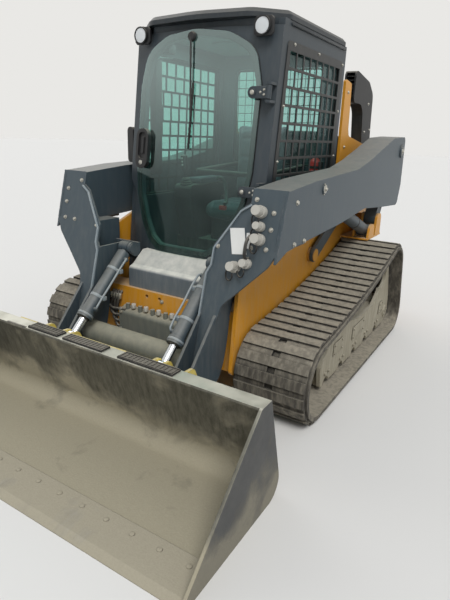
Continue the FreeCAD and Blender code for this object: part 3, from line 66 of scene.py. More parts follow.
class Side(float, Enum):
    """The machine's sides, as the sign of x."""

    LEFT = 1.0
    RIGHT = -1.0


# The cab's leaning, bowed front and the arms' leaning front wall, in metres as the source has them.
FRONT_LOW: Flat = (-0.429, 0.830)
FRONT_TOP: Flat = (-0.278, 2.085)
GLASS_RADIUS = 1.7
CAB_HALF = 0.5
WALL_TOP: Flat = (-0.668, 1.286)
WALL_SLOPE = 0.27
WALL_OUT: Point = (0, -1, WALL_SLOPE)

# The ways a bolt head or a line of sight can face.
LEFTWARD: Point = (1, 0, 0)
RIGHTWARD: Point = (-1, 0, 0)
FORWARD: Point = (0, -1, 0)
REARWARD: Point = (0, 1, 0)
UP: Point = (0, 0, 1)
DOWN: Point = (0, 0, -1)


def front_y(z: float, x: float = CAB_HALF) -> float:
    """Where the outside of the door glass stands at a height and a distance from the middle.

    Args:
        z: The height in metres.
        x: The distance from the centre plane in metres.

    Returns:
        The y value in metres.
    """
    lean = FRONT_LOW[0] + (FRONT_TOP[0] - FRONT_LOW[0]) * (z - FRONT_LOW[1]) / (FRONT_TOP[1] - FRONT_LOW[1])
    return lean - (math.sqrt(GLASS_RADIUS ** 2 - x * x) - math.sqrt(GLASS_RADIUS ** 2 - CAB_HALF ** 2))


def wall_y(z: float) -> float:
    """Where the arms' leaning front wall stands at a height, in metres."""
    return WALL_TOP[0] - (WALL_TOP[1] - z) * WALL_SLOPE


def on_wall(x: float, z: float, out: float = 0.0) -> Point:
    """A point on the leaning front wall, or some way in front of it."""
    return (x, wall_y(z) - out, z + out * WALL_SLOPE)


def srgb(code: str, share: float = 1.0) -> Colour:
    """Turn a hex sRGB colour into Blender's linear colour.

    Args:
        code: Six hex digits after a hash sign.
        share: How much lighter or darker than that it gets.

    Returns:
        Linear red, green, blue and an alpha of one.
    """
    parts = [int(code[i:i + 2], 16) / 255 for i in (1, 3, 5)]
    linear = [c / 12.92 if c <= 0.04045 else ((c + 0.055) / 1.055) ** 2.4 for c in parts]
    return tuple(min(1.0, c * share) for c in linear) + (1.0,)


def add(tree: bpy.types.NodeTree, kind: str, inputs: Optional[dict] = None, **settings) -> bpy.types.Node:
    """Add one shader node with its settings and links.

    Args:
        tree: The material's node tree.
        kind: The node's type without its ShaderNode prefix.
        inputs: Socket names or numbers to the socket or value each one gets.
        settings: Properties of the node.

    Returns:
        The node.
    """
    made = tree.nodes.new("ShaderNode" + kind)
    for key, value in settings.items():
        setattr(made, key, value)
    for key, value in (inputs or {}).items():
        socket = made.inputs[key]
        if isinstance(value, bpy.types.NodeSocket):
            tree.links.new(value, socket)
        else:
            socket.default_value = value
    return made


class Graph:
    """A material in the making, with one short method for each step that the finishes share."""

    def __init__(self, name: str) -> None:
        self.material = bpy.data.materials.new(name)
        self.material.use_nodes = True
        self.tree = self.material.node_tree
        self.tree.nodes.clear()
        source = add(self.tree, "TexCoord")
        self.place = source.outputs["Object"]
        self.faces = source.outputs["Normal"]

    def noise(self, scale: float, detail: float = 2.0, roughness: float = 0.5, distortion: float = 0.0,
              stretch: Optional[Point] = None) -> Socket:
        """Cloudy noise over the object's own coordinates.

        Args:
            scale: How many clouds fit in a metre.
            detail: How many finer layers it has.
            roughness: How strong the finer layers are.
            distortion: How far the clouds are pulled about.
            stretch: How much closer the clouds lie along each axis.

        Returns:
            The noise's strength.
        """
        place = self.place
        if stretch is not None:
            place = add(self.tree, "Mapping", {"Vector": place, "Scale": stretch}).outputs["Vector"]
        return add(self.tree, "TexNoise", {"Vector": place, "Scale": scale, "Detail": detail,
                                           "Roughness": roughness, "Distortion": distortion}).outputs["Fac"]

    def axis(self, vector: Socket, letter: str) -> Socket:
        """One axis of a vector."""
        return add(self.tree, "SeparateXYZ", {0: vector}).outputs[letter]

    def spread(self, value: Socket, start: float = 0.0, stop: float = 1.0, low: float = 0.0,
               high: float = 1.0) -> Socket:
        """Turn one range of values into another and hold it at both ends.

        Args:
            value: The value to turn.
            start: The value that becomes low.
            stop: The value that becomes high.
            low: The first result.
            high: The last result.

        Returns:
            The turned value.
        """
        return add(self.tree, "MapRange", {"Value": value, "From Min": start, "From Max": stop, "To Min": low,
                                           "To Max": high}).outputs["Result"]

    def math(self, operation: str, first: Level, second: Level = 0.5, clamp: bool = False) -> Socket:
        """Work out one sum from two values."""
        return add(self.tree, "Math", {0: first, 1: second}, operation=operation,
                   use_clamp=clamp).outputs["Value"]

    def times(self, first: Level, second: Level, clamp: bool = False) -> Socket:
        """Multiply two values."""
        return self.math("MULTIPLY", first, second, clamp)

    def blend(self, share: Level, first: Union[Colour, Socket], second: Union[Colour, Socket]) -> Socket:
        """Go from one colour to another."""
        return add(self.tree, "Mix", {0: share, 6: first, 7: second}, data_type="RGBA").outputs[2]

    def rounded_normal(self, radius: float) -> Socket:
        """The surface's direction with its edges softened by a radius in metres."""
        return add(self.tree, "Bevel", {"Radius": radius}, samples=4).outputs["Normal"]

    def bump(self, strength: float, distance: float, height: Socket, normal: Optional[Socket] = None) -> Socket:
        """Fine relief on top of the surface's direction."""
        inputs = {"Strength": strength, "Distance": distance, "Height": height}
        if normal is not None:
            inputs["Normal"] = normal
        return add(self.tree, "Bump", inputs).outputs["Normal"]

    def close(self, shader: Socket) -> bpy.types.Material:
        """Join a shader to the material's output and give the material back."""
        add(self.tree, "OutputMaterial", {"Surface": shader})
        return self.material

    def principled(self, inputs: dict) -> bpy.types.Material:
        """Close the material with one principled shader."""
        return self.close(add(self.tree, "BsdfPrincipled", inputs).outputs["BSDF"])


@dataclass(frozen=True)
class Weathered:
    """A painted, cast or rubber surface with uneven tone, settled dust, streaks, worn edges and painted shade in its
    gaps.

    The dust settles on what faces up, more of it near the ground, and the paint thins along edges.
    """

    # The colour of the painted shade in gaps and corners.
    PAINTED_GAP_SHADE: ClassVar[str] = "#1c1a17"
    DUST_ROUGHNESS: ClassVar[float] = 0.92
    BARE_METAL: ClassVar[float] = 0.55

    name: str
    colour: str
    roughness: float = 0.45
    metallic: float = 0.0
    dust: float = 0.6
    grime: float = 0.25
    wear: float = 0.5
    under: str = "#5f5c58"
    soil: str = "#b3ab9b"
    tone: float = 0.14
    grain_mm: float = 6.0
    bump: float = 0.12
    edge_mm: float = 4.0
    coat: float = 0.0
    # The last two set how strongly painted shade darkens gaps and corners, and within what distance.
    gap_shade: float = 0.25
    gap_shade_mm: float = 30.0

    def build(self) -> bpy.types.Material:
        """Make the material.

        Returns:
            The material.
        """
        graph = Graph(self.name)
        patches = graph.noise(2.6, 5.0, 0.55)
        blotch = graph.noise(17.0, 7.0, 0.62)
        grain = graph.noise(1000.0 / self.grain_mm, 3.0, 0.6)
        streak = graph.noise(2.4, 6.0, 0.6, stretch=(16.0, 16.0, 2.6))
        paint = graph.blend(patches, srgb(self.colour, 1 - self.tone), srgb(self.colour, 1 + self.tone))
        # Dust lies on what faces up, and splashes run down from it, thickest near the ground.
        upward = graph.spread(graph.axis(graph.faces, "Z"), 0.25, 0.95, 0.0, self.dust)
        lying = graph.times(upward, graph.spread(blotch, 0.25, 0.75, 0.60, 1.15))
        near_ground = graph.spread(graph.axis(graph.place, "Z"), 1.3, 0.1, 0.25, 1.0)
        splash = graph.times(graph.spread(streak, 0.42, 0.72, 0.0, self.grime), near_ground)
        soiled = graph.math("ADD", lying, splash, clamp=True)
        # Paint is worn off in chips where the surface turns sharply.
        soft = graph.rounded_normal(self.edge_mm / 1000)
        flat = add(graph.tree, "NewGeometry").outputs["Normal"]
        turn = add(graph.tree, "VectorMath", {0: soft, 1: flat}, operation="DOT_PRODUCT").outputs["Value"]
        chip = graph.spread(blotch, 0.60 - 0.16 * self.wear, 0.66 - 0.10 * self.wear)
        worn = graph.times(graph.times(graph.spread(turn, 0.995, 0.90), chip), min(1.0, self.wear * 1.6), True)
        scuffed = graph.blend(worn, paint, srgb(self.under))
        dusty = graph.blend(soiled, scuffed, srgb(self.soil))
        # Gaps and corners are darkened by an occlusion mask: painted shade.
        open_sky = add(graph.tree, "AmbientOcclusion", {"Distance": self.gap_shade_mm / 1000}, samples=6,
                       only_local=True).outputs["AO"]
        deep = graph.blend(graph.spread(open_sky, 0.35, 0.90, self.gap_shade, 0.0), dusty, srgb(self.PAINTED_GAP_SHADE))
        return graph.principled({
            "Base Color": deep,
            "Roughness": graph.spread(soiled, low=self.roughness, high=self.DUST_ROUGHNESS),
            "Metallic": graph.spread(worn, low=self.metallic, high=max(self.metallic, self.BARE_METAL)),
            "Coat Weight": self.coat,
            "Normal": graph.bump(self.bump, 0.002, grain, soft),
        })


@dataclass(frozen=True)
class Scraped:
    """Steel plate that soil has polished in long strokes, with dry soil left in the hollows."""

    SIDE_PAINT: ClassVar[str] = "#3f4145"
    LEDGE_DUST: ClassVar[str] = "#c6c4b6"

    name: str
    steel: str
    soil: str
    dark: str
    cover: float = 0.6

    def build(self) -> bpy.types.Material:
        """Make the material.

        Returns:
            The material.
        """
        graph = Graph(self.name)
        height = graph.axis(graph.place, "Z")
        stroke = graph.noise(3.0, 9.0, 0.72, stretch=(14.0, 3.5, 3.5))
        clump = graph.noise(3.4, 8.0, 0.62, 0.4)
        crumb = graph.noise(130.0, 4.0)
        # Soil cakes in clumps, more of it low down.
        raised = graph.math("ADD", graph.times(clump, clump), graph.spread(height, 0.30, 0.02, 0.0, 0.30))
        cake = graph.spread(raised, 0.34 - 0.2 * self.cover, 0.52 - 0.12 * self.cover)
        bare = graph.blend(graph.spread(stroke, 0.30, 0.70), srgb(self.dark), srgb(self.steel))
        # The side plates keep their paint and hold less soil.
        sideways = graph.spread(graph.math("ABSOLUTE", graph.axis(graph.faces, "X")), 0.6, 0.95, 0.0, 0.75)
        plate = graph.blend(sideways, bare, srgb(self.SIDE_PAINT))
        tint = graph.blend(crumb, srgb(self.soil), srgb(self.soil, 1.25))
        held = graph.times(cake, graph.spread(sideways, low=1.0, high=0.35))
        soiled = graph.blend(held, plate, tint)
        # Pale dust lies on the flange at the top.
        upward = graph.spread(graph.axis(graph.faces, "Z"), 0.6, 0.95)
        ledge = graph.times(upward, graph.spread(height, 0.40, 0.52, 0.0, 0.8))
        return graph.principled({
            "Base Color": graph.blend(ledge, soiled, srgb(self.LEDGE_DUST)),
            "Roughness": graph.spread(cake, low=0.46, high=0.94),
            "Metallic": graph.spread(cake, low=0.55, high=0.0),
            "Normal": graph.bump(0.35, 0.004, graph.times(cake, crumb), graph.rounded_normal(0.005)),
        })


@dataclass(frozen=True)
class Bright:
    """Hard-chromed or silvered metal with a faint, uneven film."""

    name: str
    colour: str
    roughness: float

    def build(self) -> bpy.types.Material:
        """Make the material.

        Returns:
            The material.
        """
        graph = Graph(self.name)
        film = graph.spread(graph.noise(24.0, 5.0), low=self.roughness * 0.7, high=self.roughness * 1.6)
        return graph.principled({"Base Color": srgb(self.colour), "Metallic": 1.0, "Roughness": film})


@dataclass(frozen=True)
class Pane:
    """Toughened, tinted glazing with a thin film of dust, clear enough to see the seat through.

    A pane has two faces, so the tint is the root of what the whole pane lets through, and only the outer
    face reflects. The reflection of the sky fades towards the pane's foot.
    """

    REFLECTION: ClassVar[str] = "#cfe3e2"
    DUST: ClassVar[str] = "#aab3b2"

    name: str
    tint: str
    dust: float = 0.10
    ior: float = 1.45
    sky: float = 1.0

    def build(self) -> bpy.types.Material:
        """Make the material.

        Returns:
            The material.
        """
        graph = Graph(self.name)
        haze = graph.spread(graph.noise(3.2, 6.0, 0.6), 0.38, 0.75, self.dust * 0.3, self.dust * 1.8)
        clear = add(graph.tree, "BsdfTransparent", {"Color": srgb(self.tint)}).outputs["BSDF"]
        gloss = add(graph.tree, "BsdfGlossy", {"Color": srgb(self.REFLECTION), "Roughness": 0.03}).outputs["BSDF"]
        soil = add(graph.tree, "BsdfDiffuse", {"Color": srgb(self.DUST)}).outputs["BSDF"]
        shine = add(graph.tree, "Fresnel", {"IOR": self.ior}).outputs["Fac"]
        back = add(graph.tree, "NewGeometry").outputs["Backfacing"]
        outer = graph.times(shine, graph.math("SUBTRACT", 1.0, back))
        sky = graph.spread(graph.axis(graph.place, "Z"), 1.15, 1.85, 0.35, self.sky)
        glass = add(graph.tree, "MixShader", {0: graph.times(outer, sky, True), 1: clear, 2: gloss})
        whole = add(graph.tree, "MixShader", {0: haze, 1: glass.outputs["Shader"], 2: soil})
        return graph.close(whole.outputs["Shader"])


@dataclass(frozen=True)
class Glow:
    """A lens or a display's cover: smooth and glossy, with fine ribs."""

    name: str
    colour: str
    roughness: float = 0.06
    transmission: float = 0.0

    def build(self) -> bpy.types.Material:
        """Make the material.

        Returns:
            The material.
        """
        graph = Graph(self.name)
        ribs = add(graph.tree, "TexWave", {"Vector": graph.place, "Scale": 60.0, "Distortion": 0.0})
        return graph.principled({"Base Color": srgb(self.colour), "Roughness": self.roughness,
                                 "Transmission Weight": self.transmission,
                                 "Normal": graph.bump(0.10, 0.0006, ribs.outputs["Fac"])})


@dataclass(frozen=True)
class Stitched:
    """Grained vinyl of a working seat, satin and slightly creased."""

    name: str
    colour: str

    def build(self) -> bpy.types.Material:
        """Make the material.

        Returns:
            The material.
        """
        graph = Graph(self.name)
        hide = add(graph.tree, "TexVoronoi", {"Vector": graph.place, "Scale": 420.0}).outputs["Distance"]
        colour = graph.blend(graph.noise(7.0, 4.0), srgb(self.colour), srgb(self.colour, 1.7))
        return graph.principled({"Base Color": colour, "Roughness": 0.55, "Sheen Weight": 0.15,
                                 "Normal": graph.bump(0.08, 0.0006, hide)})


class Finishes:
    """Every material of the machine, made once and looked up by its plain name."""

    def __init__(self) -> None:
        recipes = {
            # Flat blue-grey paint of the arms, dusty on top, with pale chips along the edges.
            "slate": Weathered("powder_coated_slate_steel", "#3b474e", dust=0.32, grime=0.10, wear=0.45,
                               under="#87898a", tone=0.09),
            # The same paint under a nearly whole coat of pale dust, where boots step.
            "sill": Weathered("dust_covered_sill_steel", "#5b6368", dust=1.0, grime=0.15, wear=0.5,
                              under="#87898a", soil="#c9c5bb", tone=0.10),
            # A darker, cleaner slate that sets the cab's frame off from the arms.
            "cab": Weathered("powder_coated_dark_slate_steel", "#2e373d", dust=0.20, grime=0.12, wear=0.35,
                             under="#7c7f80", tone=0.08),
            # Nearly black slate, so that the roof closes the cab off at the top.
            "roof": Weathered("powder_coated_black_slate_steel", "#20272c", dust=0.16, grime=0.10, wear=0.3,
                              under="#6c7072", tone=0.08),
            # Rubbed, pale slate of clamps and lines that are handled and scraped; on the walls' edge flanges the
            # pale colour is a painted highlight where the edges catch the light.
            "pale_slate": Weathered("worn_and_highlit_slate_steel", "#7f8a90", dust=0.4, grime=0.2, wear=0.9,
                                    under="#a9adad"),
            # Warm ochre enamel, slightly glossy, with dust on the ledges and brown chips.
            "ochre": Weathered("baked_enamel_ochre_steel", "#cd8d1c", dust=0.55, grime=0.30, wear=0.5,
                               under="#7b5a33", coat=0.10, tone=0.08),
            # Bleached yellow, worn through at the edges, that makes the coupler stand out.
            "pale_yellow": Weathered("brushed_enamel_yellow_steel", "#d9c25c", dust=0.5, grime=0.3, wear=0.9,
                                     under="#8a7a58"),
            # Satin black of small steel parts, greyed by dust.
            "black": Weathered("baked_enamel_black_steel", "#191a1b", dust=0.4, grime=0.25, wear=0.35,
                               under="#55524e", roughness=0.5),
            # Rough, dark iron whose colour is partly painted shade, keeping the drive deep in shade.
            "shadow": Weathered("dark_cast_iron_painted_shade", "#38362f", dust=0.8, grime=0.8, wear=0.5, grain_mm=3.0,
                                bump=0.3, roughness=0.7, soil="#8f8875"),
            # Steel so caked with dry clay that hardly any paint is seen.
            "dusty": Weathered("dust_caked_steel", "#8d8674", dust=1.0, grime=0.7, wear=0.5, under="#5f5c54",
                               soil="#a9a392", roughness=0.85, tone=0.10),
            # Matt brown-grey rubber: clay on the bars, painted shade nearly black in the gaps and holes.
            "tracks": Weathered("moulded_track_rubber", "#46423b", roughness=0.88, dust=0.80, grime=0.7,
                                wear=0.3, under="#8f8778", soil="#938c7d", tone=0.26, grain_mm=9.0, bump=0.4,
                                gap_shade=0.98, gap_shade_mm=48.0),
            # Grey-green steel between paint and soil, for what lies low between the arms.
            "cover": Weathered("dust_caked_grey_steel", "#64675f", dust=0.8, grime=0.3, wear=0.5,
                               soil="#96917f", roughness=0.75, tone=0.10),
            # Matt rubber inside the belt, cleaner than its outside, and painted darker than it as the shade inside
            # the belt.
            "belt": Weathered("moulded_belt_rubber_painted_shade", "#2c2a27", roughness=0.85, dust=0.5, grime=0.4,
                              wear=0.0),
            # Finely grained black plastic with a faint film of dust.
            "plastic": Weathered("moulded_black_abs", "#17181a", roughness=0.55, dust=0.30, grime=0.10,
                                 wear=0.0, grain_mm=1.5),
            # Deep black, matt seals and boots.
            "rubber": Weathered("moulded_black_rubber", "#131313", roughness=0.75, dust=0.3, grime=0.15,
                                wear=0.0),
            # Coarse, light-swallowing grit on the step pads.
            "pads": Weathered("grit_faced_step_pad", "#1b1b1b", roughness=0.9, dust=0.35, grime=0.1, wear=0.0,
                              grain_mm=4.0, bump=0.8),
            # Bare, stroked plate with clumps of dry soil, dark on the bucket's sides.
            "bucket": Scraped("abraded_bucket_steel", "#7c7a6f", "#948d79", "#4b4a42", cover=0.36),
            # The brightest steel, rubbed clean by the ground.
            "edge": Scraped("polished_cutting_edge_steel", "#aeaba2", "#958e7c", "#6f6c64", cover=0.25),
            # Pale, softly shining bolt heads that catch the light.
            "zinc": Weathered("zinc_plated_steel", "#b9b7ae", roughness=0.4, metallic=0.85, dust=0.3,
                              grime=0.2, wear=0.0),
            # Mirror-bright rods that show at once where a cylinder slides.
            "chrome": Bright("hard_chromed_rod", "#d6d9dc", 0.14),
            # The sharpest reflection, for the mirror only.
            "mirror": Bright("silvered_mirror_glass", "#c9d2d4", 0.03),
            # Off-white plastic caps against the dark wall.
            "cap": Weathered("moulded_pale_dust_cap", "#b5b2a9", roughness=0.5, dust=0.2, grime=0.3, wear=0.0),
            # A clean white spot, blank on purpose.
            "plate": Weathered("painted_white_plate", "#dcdcd8", roughness=0.4, dust=0.15, grime=0.15,
                               wear=0.2),
            # Thin black mesh that reads as a pattern in front of the glass.
            "screen": Weathered("punched_black_guard", "#1d1f20", dust=0.25, grime=0.2, wear=0.2),
            # Soft pale felt that lightens the cab from above.
            "liner": Weathered("felt_headliner", "#9aa1a3", roughness=0.95, dust=0.0, grime=0.0, wear=0.0,
                               grain_mm=1.2, bump=0.3),
            # A black, glossy display that is switched off.
            "screen_glass": Glow("display_cover_glass", "#0e1113", roughness=0.10),
            # Green-tinted glass with the sky's reflection on its upper half.
            "door_glass": Pane("toughened_green_glass", "#cfece6", 0.030, 1.85, 3.4),
            # Lighter glass at the sides and the back, so that daylight comes through the cab.
            "side_glass": Pane("toughened_grey_glass", "#e3f3f1", 0.02),
            # Clear ribbed lamp lens.
            "lamp": Glow("moulded_lamp_lens", "#eef1f2", transmission=0.25, roughness=0.10),
            # Silvery bowl behind the lens, that makes the lamp look lit.
            "reflector": Bright("vacuum_coated_reflector", "#dfe2e4", 0.10),
            # Deep red, glossy tail lamps.
            "red_lens": Glow("moulded_red_lens", "#a01812", roughness=0.12),
            # Signal red of the extinguisher and the releases.
            "red": Weathered("painted_red_steel", "#b3201a", dust=0.15, grime=0.1, wear=0.2),
            # Charcoal vinyl with a soft sheen and fine grain.
            "vinyl": Stitched("grained_charcoal_vinyl", "#474c50"),
            # Dark, dusty fins behind the grille.
            "core": Weathered("cooler_fins", "#2a2b2c", roughness=0.6, dust=0.3, grime=0.5, wear=0.0),
        }
        self._made = {key: recipe.build() for key, recipe in recipes.items()}

    def __getitem__(self, key: str) -> bpy.types.Material:
        """The material with a plain name."""
        return self._made[key]


@dataclass
class FrameFinish:
    """Gives every CAD node its material."""

    looks: Finishes
    groups: dict[str, str] = field(default_factory=lambda: {
        "tracks": "track_left track_right",
        "shadow": "sprockets drive_motors engine_block",
        "dusty": "track_frame_left track_frame_right front_idlers rear_idlers track_rollers",
        "sill": "front_step",
        "slate": "hood rear_links control_links arm_left arm_right lift_barrels tilt_barrels",
        "cover": "manifold_cover cross_tube",
        "cab": "cowl cab_frame hinge_posts door_hinges",
        "roof": "cab_roof",
        "ochre": "frame_side_left frame_side_right frame_cross engine_panels rear_door",
        "pale_yellow": "coupler",
        "black": "rear_bumper rear_hinges rear_grille cab_floor foot_rests",
        "core": "cooling_pack",
        "plastic": "exhaust_duct seat_base consoles joysticks work_lamps side_mirror door_handle",
        "screen": "side_screens",
        "side_glass": "side_glass rear_glass",
        "door_glass": "door_glass",
        "rubber": "door_seal lap_bar",
        "pads": "bucket_pads",
        "cap": "aux_couplers",
        "chrome": "lift_rods tilt_rods",
        "bucket": "bucket_shell",
        "edge": "cutting_edge",
        "red_lens": "tail_lamps",
        "vinyl": "seat_cushion seat_back",
    })

    def dress(self) -> None:
        """Put the finishes on the nodes."""
        for finish, names in self.groups.items():
            for name in names.split():
                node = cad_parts[name]
                node.data.materials.clear()
                node.data.materials.append(self.looks[finish])
                log.info("%s gets %s", name, self.looks[finish].name)


def land(node: str, start: Point, aim: Point) -> Optional[Point]:
    """Where a line first meets one of the frame's nodes.

    Args:
        node: The node's name.
        start: A point off the node.
        aim: The way the line goes.

    Returns:
        The point met, or nothing where the line passes by.
    """
    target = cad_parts[node]
    back = target.matrix_world.inverted()
    hit, place, _, _ = target.ray_cast(back @ Vector(start), (back.to_3x3() @ Vector(aim)).normalized())
    if not hit:
        log.info("%s is missed from %s", node, start)
        return None
    return tuple(target.matrix_world @ place)


def met(node: str, starts: Sequence[Point], aim: Point) -> list[Point]:
    """Where lines from some points first meet a node, leaving out the lines that pass by."""
    places = [land(node, start, aim) for start in starts]
    return [place for place in places if place is not None]


def circle(centre: Flat, radius: float, count: int, start: float = 0.0, turn: float = 360.0) -> list[Flat]:
    """Evenly spaced points on a circle.

    Args:
        centre: The circle's centre.
        radius: Its radius.
        count: How many points.
        start: The first point's angle in degrees.
        turn: How far round the points go in degrees.

    Returns:
        The points.
    """
    angles = [math.radians(start + turn * i / count) for i in range(count)]
    return [(centre[0] + radius * math.cos(a), centre[1] + radius * math.sin(a)) for a in angles]


def rounded(corners: Sequence[Point], radius: float, steps: int = 4) -> list[Point]:
    """Round the corners of a closed loop.

    Args:
        corners: The loop's corners.
        radius: How far from each corner the rounding starts.
        steps: How many straight runs make up one corner.

    Returns:
        The loop's points.
    """
    points = []
    for i, corner in enumerate(corners):
        here = Vector(corner)
        back = here + (Vector(corners[i - 1]) - here).normalized() * radius
        ahead = here + (Vector(corners[(i + 1) % len(corners)]) - here).normalized() * radius
        for k in range(steps + 1):
            t = k / steps
            points.append(tuple(back * (1 - t) ** 2 + here * 2 * t * (1 - t) + ahead * t * t))
    return points


def flipped(points: Sequence[Point]) -> list[Point]:
    """The same points on the other side of the centre plane."""
    return [(-x, y, z) for x, y, z in points]


class Shape:
    """A mesh in the making, built from Blender's own mesh operators."""

    def __init__(self) -> None:
        self.bm = bmesh.new()

    def box(self, low: Point, high: Point, bevel: float = 0.0) -> "Shape":
        """Add a box between two corners, with its edges rounded.

        Args:
            low: The lowest corner.
            high: The highest corner.
            bevel: The edge radius.

        Returns:
            This shape.
        """
        verts = bmesh.ops.create_cube(self.bm, size=1.0)["verts"]
        bmesh.ops.scale(self.bm, vec=[b - a for a, b in zip(low, high)], verts=verts)
        bmesh.ops.translate(self.bm, vec=[(b + a) / 2 for a, b in zip(low, high)], verts=verts)
        self._round(verts, bevel)
        return self

    def row(self, count: int, step: Point, low: Point, high: Point, bevel: float = 0.0) -> "Shape":
        """Add a row of equal boxes.

        Args:
            count: How many boxes.
            step: The way from each box to the next.
            low: The first box's lowest corner.
            high: The first box's highest corner.
            bevel: The edge radius.

        Returns:
            This shape.
        """
        for i in range(count):
            self.box(tuple(a + i * s for a, s in zip(low, step)), tuple(a + i * s for a, s in zip(high, step)),
                     bevel)
        return self

    def rod(self, start: Point, tip: Point, radius: float, sides: int = 32, bevel: float = 0.0) -> "Shape":
        """Add a round or many-sided bar between two points.

        Args:
            start: The middle of its first end.
            tip: The middle of its last end.
            radius: Its radius.
            sides: How many sides it has.
            bevel: The radius of its end edges.

        Returns:
            This shape.
        """
        axis = Vector(tip) - Vector(start)
        verts = bmesh.ops.create_cone(self.bm, cap_ends=True, cap_tris=False, segments=sides, radius1=radius,
                                      radius2=radius, depth=axis.length)["verts"]
        verts = self._round(verts, bevel, 1.0)
        turn = Vector(UP).rotation_difference(axis).to_matrix().to_4x4()
        place = Matrix.Translation((Vector(start) + Vector(tip)) / 2) @ turn
        bmesh.ops.transform(self.bm, matrix=place, verts=verts)
        return self

    def _round(self, verts: list, bevel: float, corner: float = 0.3) -> list:
        """Bevel the sharp edges of some vertices and give back what stands there now."""
        if bevel <= 0:
            return verts
        edges = dict.fromkeys(e for v in verts for e in v.link_edges
                              if len(e.link_faces) == 2 and e.calc_face_angle(0.0) > corner)
        made = bmesh.ops.bevel(self.bm, geom=list(edges), offset=bevel, offset_type="OFFSET", segments=2,
                               profile=0.5, affect="EDGES", material=-1)
        return [v for v in dict.fromkeys([*verts, *made["verts"]]) if v.is_valid]

    def prism(self, points: Sequence[Flat], low: float, high: float, plane: str = "yz",
              bevel: float = 0.0) -> "Shape":
        """Push a flat outline between two levels.

        Args:
            points: The outline in the plane's own two directions.
            low: The first level.
            high: The last level.
            plane: The plane, yz or xz.
            bevel: The edge radius.

        Returns:
            This shape.
        """
        place = {"yz": lambda a, b, c: (c, a, b), "xz": lambda a, b, c: (a, c, b)}[plane]
        verts = [self.bm.verts.new(place(a, b, low)) for a, b in points]
        grown = bmesh.ops.extrude_face_region(self.bm, geom=[self.bm.faces.new(verts)])["geom"]
        moved = [g for g in grown if isinstance(g, bmesh.types.BMVert)]
        bmesh.ops.translate(self.bm, vec=place(0, 0, high - low), verts=moved)
        every = verts + moved
        bmesh.ops.recalc_face_normals(self.bm, faces=list({f for v in every for f in v.link_faces}))
        self._round(every, bevel)
        return self

    def turned(self, profile: Sequence[Flat], start: Point, axis: Point, sides: int = 40) -> "Shape":
        """Spin a profile of radius and height round an axis.

        Args:
            profile: Radius and height pairs, from one end on the axis to the other.
            start: The foot of the axis.
            axis: The direction of the axis.
            sides: How many steps the spin takes.

        Returns:
            This shape.
        """
        before = set(self.bm.verts)
        verts = [self.bm.verts.new((r, 0, h)) for r, h in profile]
        edges = [self.bm.edges.new(pair) for pair in zip(verts, verts[1:])]
        bmesh.ops.spin(self.bm, geom=verts + edges, cent=(0, 0, 0), axis=UP, steps=sides, angle=math.tau,
                       use_merge=True, use_duplicate=False)
        grown = [v for v in self.bm.verts if v not in before]
        bmesh.ops.remove_doubles(self.bm, verts=grown, dist=1e-6)
        left = [v for v in grown if v.is_valid]
        bmesh.ops.recalc_face_normals(self.bm, faces=list({f for v in left for f in v.link_faces}))
        turn = Vector(UP).rotation_difference(Vector(axis)).to_matrix().to_4x4()
        bmesh.ops.transform(self.bm, matrix=Matrix.Translation(start) @ turn, verts=left)
        return self

    def ribbon(self, points: Sequence[Point], across: Point, width: float, thick: float) -> "Shape":
        """Sweep a flat bar's section along a line of points.

        Args:
            points: The middle of the bar.
            across: The way its width lies.
            width: Its width.
            thick: Its thickness.

        Returns:
            This shape.
        """
        side = Vector(across).normalized()
        rows = []
        for i, point in enumerate(points):
            ahead = Vector(points[min(i + 1, len(points) - 1)]) - Vector(points[max(i - 1, 0)])
            up = ahead.normalized().cross(side).normalized() * (thick / 2)
            half = side * (width / 2)
            corners = (half + up, up - half, -half - up, half - up)
            rows.append([self.bm.verts.new(Vector(point) + corner) for corner in corners])
        faces = [self.bm.faces.new(rows[0]), self.bm.faces.new(rows[-1][::-1])]
        for here, there in zip(rows, rows[1:]):
            for k in range(4):
                faces.append(self.bm.faces.new((here[k], there[k], there[(k + 1) % 4], here[(k + 1) % 4])))
        bmesh.ops.recalc_face_normals(self.bm, faces=faces)
        return self

    def bolt(self, place: Point, normal: Point, across: float = 0.019, height: float = 0.008) -> "Shape":
        """Add a hexagon bolt head on its washer.

        Args:
            place: Where the washer meets the surface.
            normal: The way the head stands out.
            across: The head's width.
            height: The head's height.

        Returns:
            This shape.
        """
        up = Vector(normal).normalized()
        foot = Vector(place)
        rim = foot + up * (height * 0.3)
        self.rod(tuple(foot), tuple(rim), across * 0.78, 20)
        self.rod(tuple(rim), tuple(foot + up * height * 1.3), across * 0.577, 6, bevel=across * 0.06)
        return self

    def bolts(self, places: Sequence[Point], normal: Point, across: float, height: float = 0.008) -> "Shape":
        """Add a bolt head at each of some places."""
        for place in places:
            self.bolt(place, normal, across, height)
        return self

    def bolts_on(self, node: str, starts: Sequence[Point], aim: Point, across: float, height: float = 0.008,
                 normal: Optional[Point] = None) -> "Shape":
        """Add a bolt head wherever a line from some point first meets a node.

        Args:
            node: The node's name.
            starts: The points, off the node.
            aim: The way the lines go.
            across: The heads' width.
            height: The heads' height.
            normal: The way the heads stand out, if that isn't straight back along the lines.

        Returns:
            This shape.
        """
        return self.bolts(met(node, starts, aim), normal or tuple(-a for a in aim), across, height)

    def bolt_ring(self, x: float, hub: Flat, radius: float, count: int, across: float, height: float = 0.008,
                  start: float = 0.0) -> "Shape":
        """Add a ring of bolt heads that face left round a hub."""
        return self.bolts([(x, y, z) for y, z in circle(hub, radius, count, start)], LEFTWARD, across, height)

